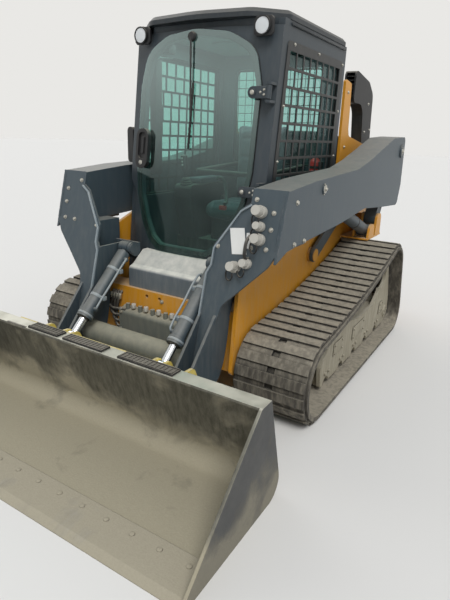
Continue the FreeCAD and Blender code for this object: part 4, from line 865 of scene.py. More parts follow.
    def mirrored(self) -> "Shape":
        """Add the same again on the other side of the centre plane."""
        every = self.bm.verts[:] + self.bm.edges[:] + self.bm.faces[:]
        copy = bmesh.ops.duplicate(self.bm, geom=every)["geom"]
        bmesh.ops.scale(self.bm, vec=(-1, 1, 1), verts=[g for g in copy if isinstance(g, bmesh.types.BMVert)])
        bmesh.ops.reverse_faces(self.bm, faces=[g for g in copy if isinstance(g, bmesh.types.BMFace)])
        return self

    def done(self, name: str, body: Body, material: bpy.types.Material, sharp: float = 34.0) -> bpy.types.Object:
        """Make the object, dress it and set it riding on its body.

        Args:
            name: The piece's name.
            body: The body it rides on.
            material: Its finish.
            sharp: The edge angle in degrees above which an edge stays crisp.

        Returns:
            The object.
        """
        mesh = bpy.data.meshes.new(name)
        self.bm.to_mesh(mesh)
        self.bm.free()
        mesh.polygons.foreach_set("use_smooth", [True] * len(mesh.polygons))
        mesh.set_sharp_from_angle(angle=math.radians(sharp))
        mesh.materials.append(material)
        made = bpy.data.objects.new(name, mesh)
        bpy.context.scene.collection.objects.link(made)
        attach(made, body.value)
        log.info("%s: %d faces", name, len(mesh.polygons))
        return made


def tube(name: str, runs: Sequence[Sequence[Point]], radius: float, closed: bool) -> Shape:
    """Bend one or more round tubes smoothly through their points.

    Args:
        name: The piece's name.
        runs: The points of each tube.
        radius: The tubes' radius.
        closed: Whether each tube joins up with its own start, with straight runs between its points.

    Returns:
        The tubes as one shape.
    """
    curve = bpy.data.curves.new(name + "_line", "CURVE")
    curve.dimensions = "3D"
    curve.bevel_depth = radius
    curve.bevel_resolution = 3
    curve.resolution_u = 8
    curve.use_fill_caps = True
    for points in runs:
        spline = curve.splines.new("BEZIER")
        spline.bezier_points.add(len(points) - 1)
        spline.use_cyclic_u = closed
        for bezier, point in zip(spline.bezier_points, points):
            bezier.co = point
            bezier.handle_left_type = "VECTOR" if closed else "AUTO"
            bezier.handle_right_type = "VECTOR" if closed else "AUTO"
    holder = bpy.data.objects.new(name + "_line", curve)
    bpy.context.scene.collection.objects.link(holder)
    bpy.context.view_layer.update()
    mesh = bpy.data.meshes.new_from_object(holder.evaluated_get(bpy.context.evaluated_depsgraph_get()))
    bpy.data.objects.remove(holder)
    shape = Shape()
    shape.bm.from_mesh(mesh)
    bpy.data.meshes.remove(mesh)
    return shape


@dataclass
class Assembly:
    """One sub-assembly's fittings, with their finishes and the body that most of them ride."""

    BODY: ClassVar[Body] = Body.CHASSIS

    looks: Finishes

    def piece(self, name: str, finish: str, shape: Shape, body: Optional[Body] = None) -> bpy.types.Object:
        """Finish one piece.

        Args:
            name: The piece's name.
            finish: The plain name of its finish.
            shape: Its mesh in the making.
            body: The body it rides, if that isn't the sub-assembly's own.

        Returns:
            The object.
        """
        return shape.done(name, body or self.BODY, self.looks[finish])

    def pair(self, name: str, finish: str, shape: Shape, body: Optional[Body] = None) -> bpy.types.Object:
        """Finish one piece that the machine has on both sides."""
        return self.piece(name, finish, shape.mirrored(), body)

    def pipes(self, name: str, finish: str, runs: Sequence[Sequence[Point]], radius: float,
              closed: bool = False, body: Optional[Body] = None) -> bpy.types.Object:
        """Finish one piece of round tubes or beads.

        Args:
            name: The piece's name.
            finish: The plain name of its finish.
            runs: The points of each tube.
            radius: The tubes' radius.
            closed: Whether each tube joins up with its own start.
            body: The body it rides, if that isn't the sub-assembly's own.

        Returns:
            The object.
        """
        return tube(name, runs, radius, closed).done(name, body or self.BODY, self.looks[finish], sharp=60.0)


@dataclass
class Undercarriage(Assembly):
    """The bolts, caps, plates and guide lugs of the two tracks."""

    sprocket: Flat = (0.960, 0.541)
    front_idler: Flat = (-0.490, 0.250)
    rear_idler: Flat = (1.172, 0.178)
    middle: float = 0.775
    guard: float = 0.905
    rollers: tuple[float, ...] = (-0.168, 0.109, 0.3855, 0.662, 0.939)

    def build(self) -> None:
        """Make the pieces of both sides."""
        self._motors()
        self._idlers()
        self._guards()
        self._guides()

    def _motors(self) -> None:
        """The final drives' bolt rings and their pale centre caps."""
        bolts = Shape().bolt_ring(self.middle + 0.072, self.sprocket, 0.081, 12, 0.015)
        bolts.bolt_ring(self.middle + 0.104, self.sprocket, 0.047, 8, 0.012, 0.006, 22.5)
        bolts.bolt_ring(self.middle + 0.022, self.sprocket, 0.122, 12, 0.018, start=15)
        self.pair("drive_bolts", "shadow", bolts)
        cap = Shape().turned([(0, 0), (0.024, 0), (0.024, 0.004), (0.019, 0.008), (0, 0.009)],
                             (self.middle + 0.112, *self.sprocket), LEFTWARD)
        self.pair("drive_caps", "cap", cap)

    def _idlers(self) -> None:
        """The idlers' axle ends, with bolted caps on the forks and hub bolts on the wheels."""
        shape = Shape().turned([(0, 0), (0.036, 0), (0.036, 0.006), (0.031, 0.010), (0, 0.011)],
                               (0.881, *self.front_idler), LEFTWARD)
        shape.bolt_ring(0.8915, self.front_idler, 0.021, 3, 0.011, 0.005, 90)
        shape.bolt_ring(self.middle + 0.068, self.front_idler, 0.051, 6, 0.010, 0.005)
        shape.turned([(0, 0), (0.050, 0), (0.050, 0.005), (0.044, 0.009), (0, 0.010)],
                     (self.guard, *self.rear_idler), LEFTWARD)
        shape.bolt_ring(self.guard + 0.009, self.rear_idler, 0.031, 5, 0.012, 0.005, 90)
        self.pair("idler_caps", "dusty", shape)

    def _guards(self) -> None:
        """The track frames' covers over the tensioner and the roller bolts."""
        thick = 0.006
        cover = Shape()
        for low, high in (((0.300, 0.205), (0.560, 0.300)), ((-0.080, 0.222), (0.090, 0.310)),
                          ((0.965, 0.205), (1.065, 0.300))):
            cover.box((self.guard, *low), (self.guard + thick, *high), 0.004)
        self.pair("guard_covers", "dusty", cover)
        bolts = Shape().bolts([(self.guard, y + dy, 0.152) for y in self.rollers for dy in (-0.030, 0.030)],
                              LEFTWARD, 0.019)
        corners = [(y, z) for ys, zs in (((0.318, 0.542), (0.222, 0.284)), ((-0.064, 0.074), (0.238, 0.294)),
                                         ((0.980, 1.050), (0.222, 0.284))) for z in zs for y in ys]
        bolts.bolts([(self.guard + thick, y, z) for y, z in corners], LEFTWARD, 0.012, 0.006)
        self.pair("guard_bolts", "dusty", bolts)

    def _guides(self) -> None:
        """The moulded lugs that hang inside the belts' top runs."""
        highest = 0.78
        lugs = Shape()
        for i in range(13):
            y = -0.330 + i * 0.086
            for x in (self.middle - 0.052, self.middle + 0.052):
                place = land("track_left", (x, y, 0.46), UP)
                if place is not None and place[2] < highest:
                    lugs.box((x - 0.013, y - 0.020, place[2] - 0.026), (x + 0.013, y + 0.020, place[2] + 0.006),
                             0.006)
        # The lugs take the belt's dark rubber, painted shade inside the belt.
        self.pair("track_guides", "belt", lugs)


@dataclass
class CabShell(Assembly):
    """The cab's gutters, seals, screen bolts, lamp lenses and mirror glass."""

    lamp: Point = (0.414, -0.350, 2.087)
    mirror: Flat = (-0.543, 1.452)

    def build(self) -> None:
        """Make the pieces on the outside of the cab."""
        gutter = Shape().box((0.500, -0.170, 2.110), (0.509, 0.700, 2.117), 0.002)
        gutter.box((0.506, -0.170, 2.110), (0.509, 0.700, 2.126), 0.001)
        self.pair("rain_gutters", "roof", gutter)
        self._lamps()
        self._bolts()
        self._windows()
        self._mirror()

    def _lamps(self) -> None:
        """The work lamps' bezels, reflectors and ribbed lenses."""
        x, y, z = self.lamp
        wide, tall, cut = 0.058, 0.034, 0.014
        steps = ((1, -1, 0), (1, 1, 0), (1, 1, cut), (-1, 1, cut), (-1, 1, 0), (-1, -1, 0), (-1, -1, cut),
                 (1, -1, cut))
        outline = [(x + sx * (wide - c), z + sz * (tall + c)) for sx, sz, c in steps]
        self.pair("lamp_bezels", "plastic", Shape().prism(outline, y + 0.020, y + 0.040, "xz", 0.004))
        self.pair("lamp_reflectors", "reflector", Shape().rod((x, y + 0.0052, z), (x, y + 0.0068, z), 0.0395, 40))
        lens = [(0, 0), (0.0402, 0), (0.0402, 0.0016), (0.030, 0.0032), (0.015, 0.0040), (0, 0.0043)]
        self.pair("lamp_lenses", "lamp", Shape().turned(lens, (x, y + 0.0050, z), FORWARD))

    def _bolts(self) -> None:
        """The bolts of the side screens, the posts and the roof's rear edge."""
        spots = [(0.668, z) for z in (1.125, 1.42, 1.72, 2.016)] + [(y, 2.024) for y in (0.24, -0.12)]
        spots += [(y, 1.116) for y in (0.40, 0.06, -0.255)] + [(-0.214, 1.70), (-0.248, 1.40)]
        self.pair("screen_bolts", "zinc",
                  Shape().bolts_on("side_screens", [(0.6, y, z) for y, z in spots], RIGHTWARD, 0.012, 0.005))
        spots = ((0.44, 0.90), (0.44, 2.08), (0.44, 1.30), (0.44, 1.70), (0.20, 2.08))
        self.pair("cab_rear_bolts", "cab",
                  Shape().bolts_on("cab_frame", [(x, 0.9, z) for x, z in spots], FORWARD, 0.014, 0.006))

    def _windows(self) -> None:
        """The rubber seals round the rear and side windows, and the rod guard behind the rear one."""
        rear = [(-0.352, 0.722, 1.338), (0.352, 0.722, 1.338), (0.352, 0.722, 2.008), (-0.352, 0.722, 2.008)]
        side = [(0.480, -0.262, 1.133), (0.480, 0.647, 1.133), (0.480, 0.647, 2.008), (0.480, -0.165, 2.008)]
        self.pipes("window_seals", "rubber", [rounded(run, 0.045) for run in (rear, side, flipped(side))], 0.006,
                   closed=True)
        guard = Shape()
        for i in range(12):
            x = -0.341 + i * 0.062
            guard.rod((x, 0.729, 1.328), (x, 0.729, 2.018), 0.0024, 8)
        for i in range(12):
            z = 1.342 + i * 0.060
            guard.rod((-0.362, 0.7255, z), (0.362, 0.7255, z), 0.0024, 8)
        self.piece("rear_window_guard", "screen", guard)

    def _mirror(self) -> None:
        """The mirror's silvered glass, facing back past the cab."""
        x, z = self.mirror
        oval = [(x + 0.021 * a, z + 0.098 * b) for a, b in circle((0, 0), 1, 32)]
        for _, back, _ in met("side_mirror", [(x, 0.0, z)], FORWARD):
            self.piece("mirror_glass", "mirror", Shape().prism(oval, back - 0.001, back + 0.0015, "xz"))


@dataclass
class CabInside(Assembly):
    """What the glass shows: headliner, post trims, display, armrests, boots, belt and extinguisher."""

    stick: Point = (0.348, 0.050, 1.190)
    bottle: Flat = (0.412, 0.570)

    def build(self) -> None:
        """Make the pieces inside the cab."""
        liner = Shape().box((-0.440, -0.180, 2.106), (0.440, 0.680, 2.134), 0.012)
        self.piece("headliner", "liner", liner.box((-0.20, 0.10, 2.092), (0.20, 0.44, 2.108), 0.012))
        self._posts()
        self._controls()
        self._belt()
        self._extinguisher()

    def _posts(self) -> None:
        """The trims on the front posts, with switch rows, and a small display on the left one."""
        trim = Shape().box((0.402, -0.215, 1.265), (0.462, -0.150, 1.980), 0.012)
        self.pair("post_trims", "plastic", trim.box((0.300, -0.215, 2.000), (0.462, -0.140, 2.060), 0.012))
        case = Shape().box((0.330, -0.232, 1.500), (0.415, -0.196, 1.640), 0.008)
        self.piece("display_case", "plastic", case.rod((0.400, -0.200, 1.570), (0.432, -0.190, 1.570), 0.012))
        self.piece("display_screen", "screen_glass",
                   Shape().box((0.338, -0.197, 1.516), (0.407, -0.1945, 1.626), 0.001))
        keys = Shape()
        for x in (0.414, 0.438):
            keys.row(6, (0, 0, 0.026), (x, -0.153, 1.320), (x + 0.018, -0.146, 1.338), 0.002)
        self.pair("switch_keys", "cap", keys)

    def _controls(self) -> None:
        """Armrest pads, pleated lever boots and the levers' thumb keys."""
        self.pair("armrests", "vinyl", Shape().box((0.290, 0.140, 1.190), (0.408, 0.470, 1.232), 0.016))
        x, y, z = self.stick
        pleats = [(0, 0), (0.044, 0), (0.044, 0.008), (0.034, 0.014), (0.039, 0.022), (0.028, 0.030),
                  (0.032, 0.038), (0.020, 0.048), (0.014, 0.052), (0.0125, 0.052), (0, 0.052)]
        self.pair("lever_boots", "rubber", Shape().turned(pleats, (x, y, z), (0, -0.18, 1)))
        thumbs = Shape()
        for dz in (0.0, 0.022, 0.044):
            thumbs.rod((x, -0.004 - dz * 0.16, z + 0.135 + dz), (x, 0.026 - dz * 0.16, z + 0.139 + dz), 0.007,
                       16, 0.002)
        self.pair("lever_keys", "cap", thumbs)

    def _belt(self) -> None:
        """The lap belt's reel and buckle beside the cushion."""
        shape = Shape()
        for x in (-0.262, 0.262):
            shape.box((x - 0.011, 0.395, 0.880), (x + 0.011, 0.455, 1.090), 0.006)
        self.piece("belt_stalks", "plastic", shape.box((0.245, 0.385, 1.060), (0.272, 0.465, 1.130), 0.008))
        self.piece("belt_release", "red", Shape().box((0.250, 0.405, 1.126), (0.267, 0.445, 1.135), 0.003))

    def _extinguisher(self) -> None:
        """The small red extinguisher strapped to the left wall behind the seat."""
        x, y = self.bottle
        body = [(0, 0), (0.034, 0), (0.040, 0.008), (0.040, 0.200), (0.034, 0.222), (0.018, 0.236),
                (0.014, 0.250), (0, 0.250)]
        self.piece("extinguisher_bottle", "red", Shape().turned(body, (x, y, 1.165), UP))
        head = Shape().rod((x, y, 1.415), (x, y, 1.440), 0.013, 20, 0.003)
        head.box((x - 0.008, y - 0.050, 1.436), (x + 0.008, y + 0.018, 1.446), 0.003)
        for z in (1.225, 1.330):
            head.rod((x, y, z), (x, y, z + 0.018), 0.0415, 40)
        head.box((x + 0.030, y - 0.022, 1.180), (0.466, y + 0.022, 1.380), 0.003)
        self.piece("extinguisher_head", "plastic", head)


@dataclass
class DoorFittings(Assembly):
    """The wiper, hinge knobs, latch lock and inner handle of the glass door."""

    BODY: ClassVar[Body] = Body.CAB_DOOR

    hinges: tuple[float, float] = (1.235, 1.760)
    knob_x: float = 0.392
    latch: Flat = (-0.352, 1.438)

    def build(self) -> None:
        """Make the pieces that swing with the door."""
        self._wiper()
        self._hinges()
        self._latch()

    def _wiper(self) -> None:
        """The wiper's motor cap, arm and blade, hanging down the middle of the glass."""
        cap = Shape().turned([(0, 0), (0.026, 0), (0.026, 0.010), (0.020, 0.020), (0, 0.022)],
                             (-0.020, front_y(2.055, 0.02) - 0.001, 2.055), (0, -1, 0.12))
        self.piece("wiper_motor_cap", "plastic", cap)
        arm = [(-0.020 + 0.036 * t, front_y(2.050 - 0.42 * t, 0.01) - 0.018 + 0.003 * t, 2.050 - 0.42 * t)
               for t in (0, 0.25, 0.5, 0.75, 1)]
        self.pipes("wiper_arm", "black", [arm], 0.0055)
        blade = Shape()
        for i in range(12):
            low, high = 1.450 + i * 0.030, 1.482 + i * 0.030
            y = front_y((low + high) / 2, 0.016)
            blade.box((0.011, y - 0.017, low), (0.021, y - 0.003, high), 0.002)
        self.piece("wiper_blade", "rubber", blade)

    def _hinges(self) -> None:
        """The hinge knobs' plates and bright domes, and the hinge leaves' bolts."""
        domes, bolts, plates = Shape(), Shape(), Shape()
        for z in self.hinges:
            y = front_y(z)
            domes.turned([(0, 0), (0.013, 0), (0.012, 0.004), (0.007, 0.007), (0, 0.008)],
                         (self.knob_x, y - 0.062, z), FORWARD)
            bolts.bolts([(x, y - 0.057, z + dz) for x, dz in ((0.440, 0.0), (0.462, 0.012), (0.462, -0.012))],
                        FORWARD, 0.009, 0.004)
            outline = circle((self.knob_x, z), 0.031, 13, 90, 195)
            outline += [(0.470, z - 0.031), (0.474, z - 0.027), (0.474, z + 0.027), (0.470, z + 0.031)]
            plates.prism(outline, y - 0.0570, y - 0.0515, "xz", 0.0015)
        self.piece("hinge_plates", "cab", plates)
        self.piece("hinge_knob_domes", "zinc", domes)
        self.piece("hinge_leaf_bolts", "zinc", bolts)

    def _latch(self) -> None:
        """The latch's lock barrel, and the handle and release on the inside."""
        x, z = self.latch
        barrel = [(0, 0), (0.014, 0), (0.014, 0.003), (0.010, 0.005), (0, 0.005)]
        for place in met("door_handle", [(x, -1.0, z - 0.085)], REARWARD):
            self.piece("latch_lock", "zinc", Shape().turned(barrel, place, FORWARD))
        handle = [(x, front_y(z, x) + off, z) for x, off, z in
                  ((0.215, 0.012, 1.300), (0.228, 0.050, 1.285), (0.262, 0.052, 1.170), (0.275, 0.012, 1.155))]
        self.pipes("door_inner_handle", "plastic", [handle], 0.011)
        y = front_y(1.16, 0.25)
        self.piece("door_release", "red", Shape().box((0.238, y + 0.010, 1.118), (0.282, y + 0.034, 1.146), 0.006))


@dataclass
class BoomFittings(Assembly):
    """The lift arms' edge flanges, plate, bolts, welds, pin caps and coupler loops."""

    BODY: ClassVar[Body] = Body.BOOM

    edge: tuple[Flat, ...] = ((0.600, 1.206), (0.545, 1.171), (0.422, 0.972), (0.422, 0.888), (0.400, 0.842),
                              (0.400, 0.520))
    pins: tuple[Flat, ...] = ((1.506, 1.458), (-0.196, 1.268), (-1.055, 0.250))
    tube: Flat = (-0.885, 0.348)
    couplers: tuple[Flat, ...] = ((0.566, 0.896), (0.628, 0.922), (0.660, 1.178), (0.668, 1.108), (0.676, 1.046))

    def build(self) -> None:
        """Make the pieces that ride the arms."""
        flange = Shape().ribbon([on_wall(x, z, 0.002) for x, z in self.edge], WALL_OUT, 0.018, 0.009)
        # The flanges are pale slate: a painted highlight where the walls' edges catch the light.
        self.pair("wall_edge_flanges", "pale_slate", flange)
        self._plate()
        self._fasteners()
        self._pins()
        self._welds()
        self._loops()

    def _plate(self) -> None:
        """The blank white plate and the narrow strip beside it on the left wall."""
        thick = 0.0022
        shape = Shape()
        for top, foot, width in (((0.5365, 1.0875), (0.5745, 0.961), 0.086),
                                 ((0.608, 1.072), (0.618, 0.996), 0.024)):
            shape.ribbon([on_wall(*top, thick), on_wall(*foot, thick)], (1, 0, 0.12), width, thick)
        self.piece("blank_plates", "plate", shape)

    def _fasteners(self) -> None:
        """The bolts on the walls and on the arms' outer plates."""
        spots = ((0.440, 0.985), (0.633, 1.001), (0.718, 1.004), (0.726, 1.180), (0.620, 1.236), (0.726, 1.100))
        heads = Shape().bolts([on_wall(x, z) for x, z in spots], WALL_OUT, 0.016)
        starts = [(1.0, y, z) for y, z in ((-0.560, 1.225), (-0.560, 1.010), (-0.430, 1.010))]
        self.pair("arm_bolts", "zinc", heads.bolts_on("arm_left", starts, RIGHTWARD, 0.018))

    def _pins(self) -> None:
        """Keeper plates, bolts and grease nipples on the pins' heads."""
        shape = Shape()
        for x, y, z in met("arm_left", [(1.0, y, z) for y, z in self.pins], RIGHTWARD):
            shape.rod((x, y, z), (x + 0.003, y, z), 0.024, 32, 0.001)
            shape.bolt((x + 0.003, y, z), LEFTWARD, 0.017, 0.007)
            for dy, dz in ((0.0323, 0.0), (-0.01615, 0.02805), (-0.01615, -0.02805)):
                shape.rod((x, y + dy, z + dz), (x + 0.004, y + dy, z + dz), 0.004, 12)
        self.pair("pin_keepers", "zinc", shape)

    def _welds(self) -> None:
        """Weld beads where the cross tube meets the feet and where the arms' plates meet."""
        bead = [(0.391, y, z) for y, z in circle(self.tube, 0.073, 16)]
        self.pipes("tube_welds", "slate", [bead, flipped(bead)], 0.006, closed=True)
        line = [(0.770, wall_y(z) - 0.001, z) for z in (1.27, 1.18, 1.09, 1.005)]
        self.pipes("wall_welds", "slate", [line, flipped(line)], 0.0035)

    def _loops(self) -> None:
        """Short bent lines and cap tethers at the auxiliary couplers."""
        sag = ((-0.024, -0.020, 0.004), (-0.040, -0.030, -0.030), (-0.018, -0.044, -0.062),
               (0.012, -0.056, -0.040), (0.008, -0.052, -0.020))
        tethers = [[(x + dx, wall_y(z) + dy, z + dz) for dx, dy, dz in sag] for x, z in self.couplers]
        self.pipes("cap_tethers", "rubber", tethers, 0.0038)
        line = [(0.648, wall_y(1.05) + 0.004, 1.060), (0.640, wall_y(1.05) - 0.050, 1.064),
                (0.634, wall_y(0.99) - 0.062, 1.000), (0.629, wall_y(0.94) - 0.030, 0.955),
                (0.628, wall_y(0.94) + 0.004, 0.948)]
        self.pipes("coupler_lines", "black", [line], 0.0085)


@dataclass
class Cylinders(Assembly):
    """The bands, steel lines, clamps and rod wipers of the hydraulic cylinders."""

    tilt_x: float = 0.335
    tilt_pins: tuple[Flat, Flat] = ((-0.598, 0.838), (-1.086, 0.386))
    tilt_rod: float = 0.135
    lift_x: float = 0.700
    lift_pins: tuple[Flat, Flat] = ((0.989, 0.864), (-0.196, 1.268))
    lift_rod: float = 0.127

    def build(self) -> None:
        """Make the pieces that ride the barrels."""
        self._tilt()
        self._lift()

    def _line(self, x: float, pins: tuple[Flat, Flat], rod: float) -> tuple[Vector, Vector, float]:
        """Where a barrel starts, which way it lies and how far it reaches.

        Args:
            x: The cylinder's distance from the centre plane.
            pins: Its two pins.
            rod: How far the last pin lies past the barrel's mouth.

        Returns:
            The first pin's middle, the direction and the reach.
        """
        base, tip = (Vector((x, *pin)) for pin in pins)
        return base, (tip - base).normalized(), math.dist(*pins) - rod

    def _band(self, shape: Shape, base: Vector, along: Vector, start: float, stop: float, radius: float,
              bevel: float = 0.001) -> None:
        """Add a round band between two distances along a barrel."""
        shape.rod(tuple(base + along * start), tuple(base + along * stop), radius, 40, bevel)

    def _tilt(self) -> None:
        """The tilt barrels' steel lines, clamps and gland bands."""
        x = self.tilt_x
        base, along, span = self._line(x, self.tilt_pins, self.tilt_rod)
        top = Vector(LEFTWARD).cross(along).normalized()
        if top.z < 0:
            top = -top
        line = []
        for distance, lift in ((0.092, 0.0), (0.092, 0.022), (0.120, 0.034), (0.300, 0.034),
                               (span - 0.100, 0.034), (span - 0.074, 0.022), (span - 0.071, 0.0)):
            place = base + along * distance
            line.append(tuple(Vector((x - 0.053 - lift * 0.3, place.y, place.z)) + top * (lift * 0.5)))
        self.pipes("tilt_lines", "pale_slate", [line, flipped(line)], 0.0065, body=Body.TILT_BARRELS)
        bands = Shape()
        for distance in (0.18, 0.38):
            self._band(bands, base, along, distance - 0.009, distance + 0.009, 0.0435)
            middle = base + along * distance
            bands.box((x - 0.072, middle.y - 0.014, middle.z - 0.012),
                      (x - 0.038, middle.y + 0.014, middle.z + 0.014), 0.003)
        self._band(bands, base, along, span - 0.026, span - 0.014, 0.0488)
        self.pair("tilt_bands", "pale_slate", bands, Body.TILT_BARRELS)
        wiper = Shape()
        self._band(wiper, base, along, span - 0.004, span + 0.006, 0.034, 0.002)
        self.pair("tilt_rod_wipers", "rubber", wiper, Body.TILT_BARRELS)

    def _lift(self) -> None:
        """The lift barrels' bands and rod wipers."""
        base, along, span = self._line(self.lift_x, self.lift_pins, self.lift_rod)
        bands = Shape()
        for distance in (0.30, 0.62, 0.94):
            self._band(bands, base, along, distance - 0.008, distance + 0.008, 0.0468)
        self.pair("lift_bands", "black", bands, Body.LIFT_BARRELS)
        wiper = Shape()
        self._band(wiper, base, along, span - 0.004, span + 0.006, 0.038, 0.002)
        self.pair("lift_rod_wipers", "rubber", wiper, Body.LIFT_BARRELS)


@dataclass
class BucketFittings(Assembly):
    """The edge's plough bolts, the step pads' tread, strips, cutters and welds of the bucket."""

    BODY: ClassVar[Body] = Body.BUCKET

    side: float = 1.046
    pads: tuple[Flat, ...] = ((-0.330, -0.110), (0.300, 0.620))

    def build(self) -> None:
        """Make the pieces that ride the bucket."""
        heads = Shape()
        dome = [(0, 0), (0.013, 0), (0.011, 0.003), (0.006, 0.005), (0, 0.0055)]
        for place in met("cutting_edge", [(-0.98 + i * 0.14, -1.735, 0.3) for i in range(15)], DOWN):
            heads.turned(dome, place, UP, 20)
        self.piece("edge_bolts", "edge", heads)
        self._treads()
        self._strips()
        self._welds()

    def _treads(self) -> None:
        """The step pads' raised frames and ribs."""
        tread = Shape()
        for low, high in self.pads:
            for y in (-1.372, -1.320):
                tread.box((low + 0.004, y, 0.549), (high - 0.004, y + 0.008, 0.553), 0.001)
            count = int((high - low) / 0.022)
            step = (high - low - 0.020) / (count - 1)
            tread.row(count, (step, 0, 0), (low + 0.007, -1.360, 0.549), (low + 0.013, -1.324, 0.552), 0.001)
        self.piece("pad_tread", "pads", tread)

    def _strips(self) -> None:
        """The flange's grip strip and middle pad, and the side cutters' inner strips."""
        self.piece("flange_strip", "black",
                   Shape().box((-0.490, -1.3835, 0.5395), (-0.340, -1.374, 0.5435), 0.001))
        pad = Shape().box((-0.070, -1.3760, 0.5395), (0.200, -1.3120, 0.5520), 0.004)
        pad.row(12, (0.0224, 0, 0), (-0.0625, -1.3700, 0.5510), (-0.0545, -1.3180, 0.5545), 0.0012)
        self.piece("flange_pad", "pads", pad)
        cutter = [(-1.846, 0.030), (-1.800, 0.030), (-1.352, 0.470), (-1.384, 0.500)]
        self.pair("side_strips", "edge", Shape().prism(cutter, 1.045, 1.0532, "yz", 0.002))

    def _welds(self) -> None:
        """The weld beads down the corners of the bucket's inside."""
        runs = []
        for side in Side:
            places = met("bucket_shell", [(side.value * self.side, -1.6, z) for z in (0.50, 0.38, 0.26, 0.15, 0.08)],
                         REARWARD)
            runs.append([(side.value * (self.side + 0.004), y - 0.001, z) for _, y, z in places])
        self.pipes("corner_welds", "bucket", [run for run in runs if len(run) > 1], 0.005)


@dataclass
class FrontFrame(Assembly):
    """The steel lines, fittings and bolts of the manifold and the cross plate."""

    lines: int = 4
    line_x: float = -0.330

    def build(self) -> None:
        """Make the pieces at the foot of the machine's front."""
        runs = []
        fittings = Shape()
        for i in range(self.lines):
            x, z = self.line_x - i * 0.022, 0.345 + i * 0.040
            runs.append([(-0.292 + i * 0.012, -0.712, z), (x, -0.712, z + 0.005),
                         (x - 0.010, -0.705, 0.430 + i * 0.020), (x + 0.004, -0.690, 0.540),
                         (x + 0.004, -0.655, 0.572)])
            fittings.rod((x + 0.002, -0.692, 0.520), (x + 0.006, -0.687, 0.556), 0.0135, 6, 0.001)
            fittings.rod((-0.306, -0.712, z), (-0.286, -0.712, z), 0.0135, 6, 0.001)
        self.pipes("manifold_lines", "black", runs, 0.0095)
        self.piece("line_fittings", "zinc", fittings)
        plugs = Shape()
        for x in (-0.200, -0.100, 0.0, 0.100, 0.200):
            plugs.rod((x, -0.700, 0.486), (x, -0.700, 0.516), 0.015, 6, 0.001)
        self.piece("manifold_plugs", "cap", plugs)
        spots = ((0.280, 0.325), (-0.280, 0.325), (0.280, 0.452), (-0.280, 0.452), (0.0, 0.325))
        bolts = Shape().bolts_on("manifold_cover", [(x, -1.0, z) for x, z in spots], REARWARD, 0.014, 0.006)
        starts = [(x, -1.0, 0.560) for x in (0.230, 0.380, 0.470, -0.470, 0.0)]
        self.piece("front_bolts", "dusty", bolts.bolts_on("frame_cross", starts, REARWARD, 0.016))


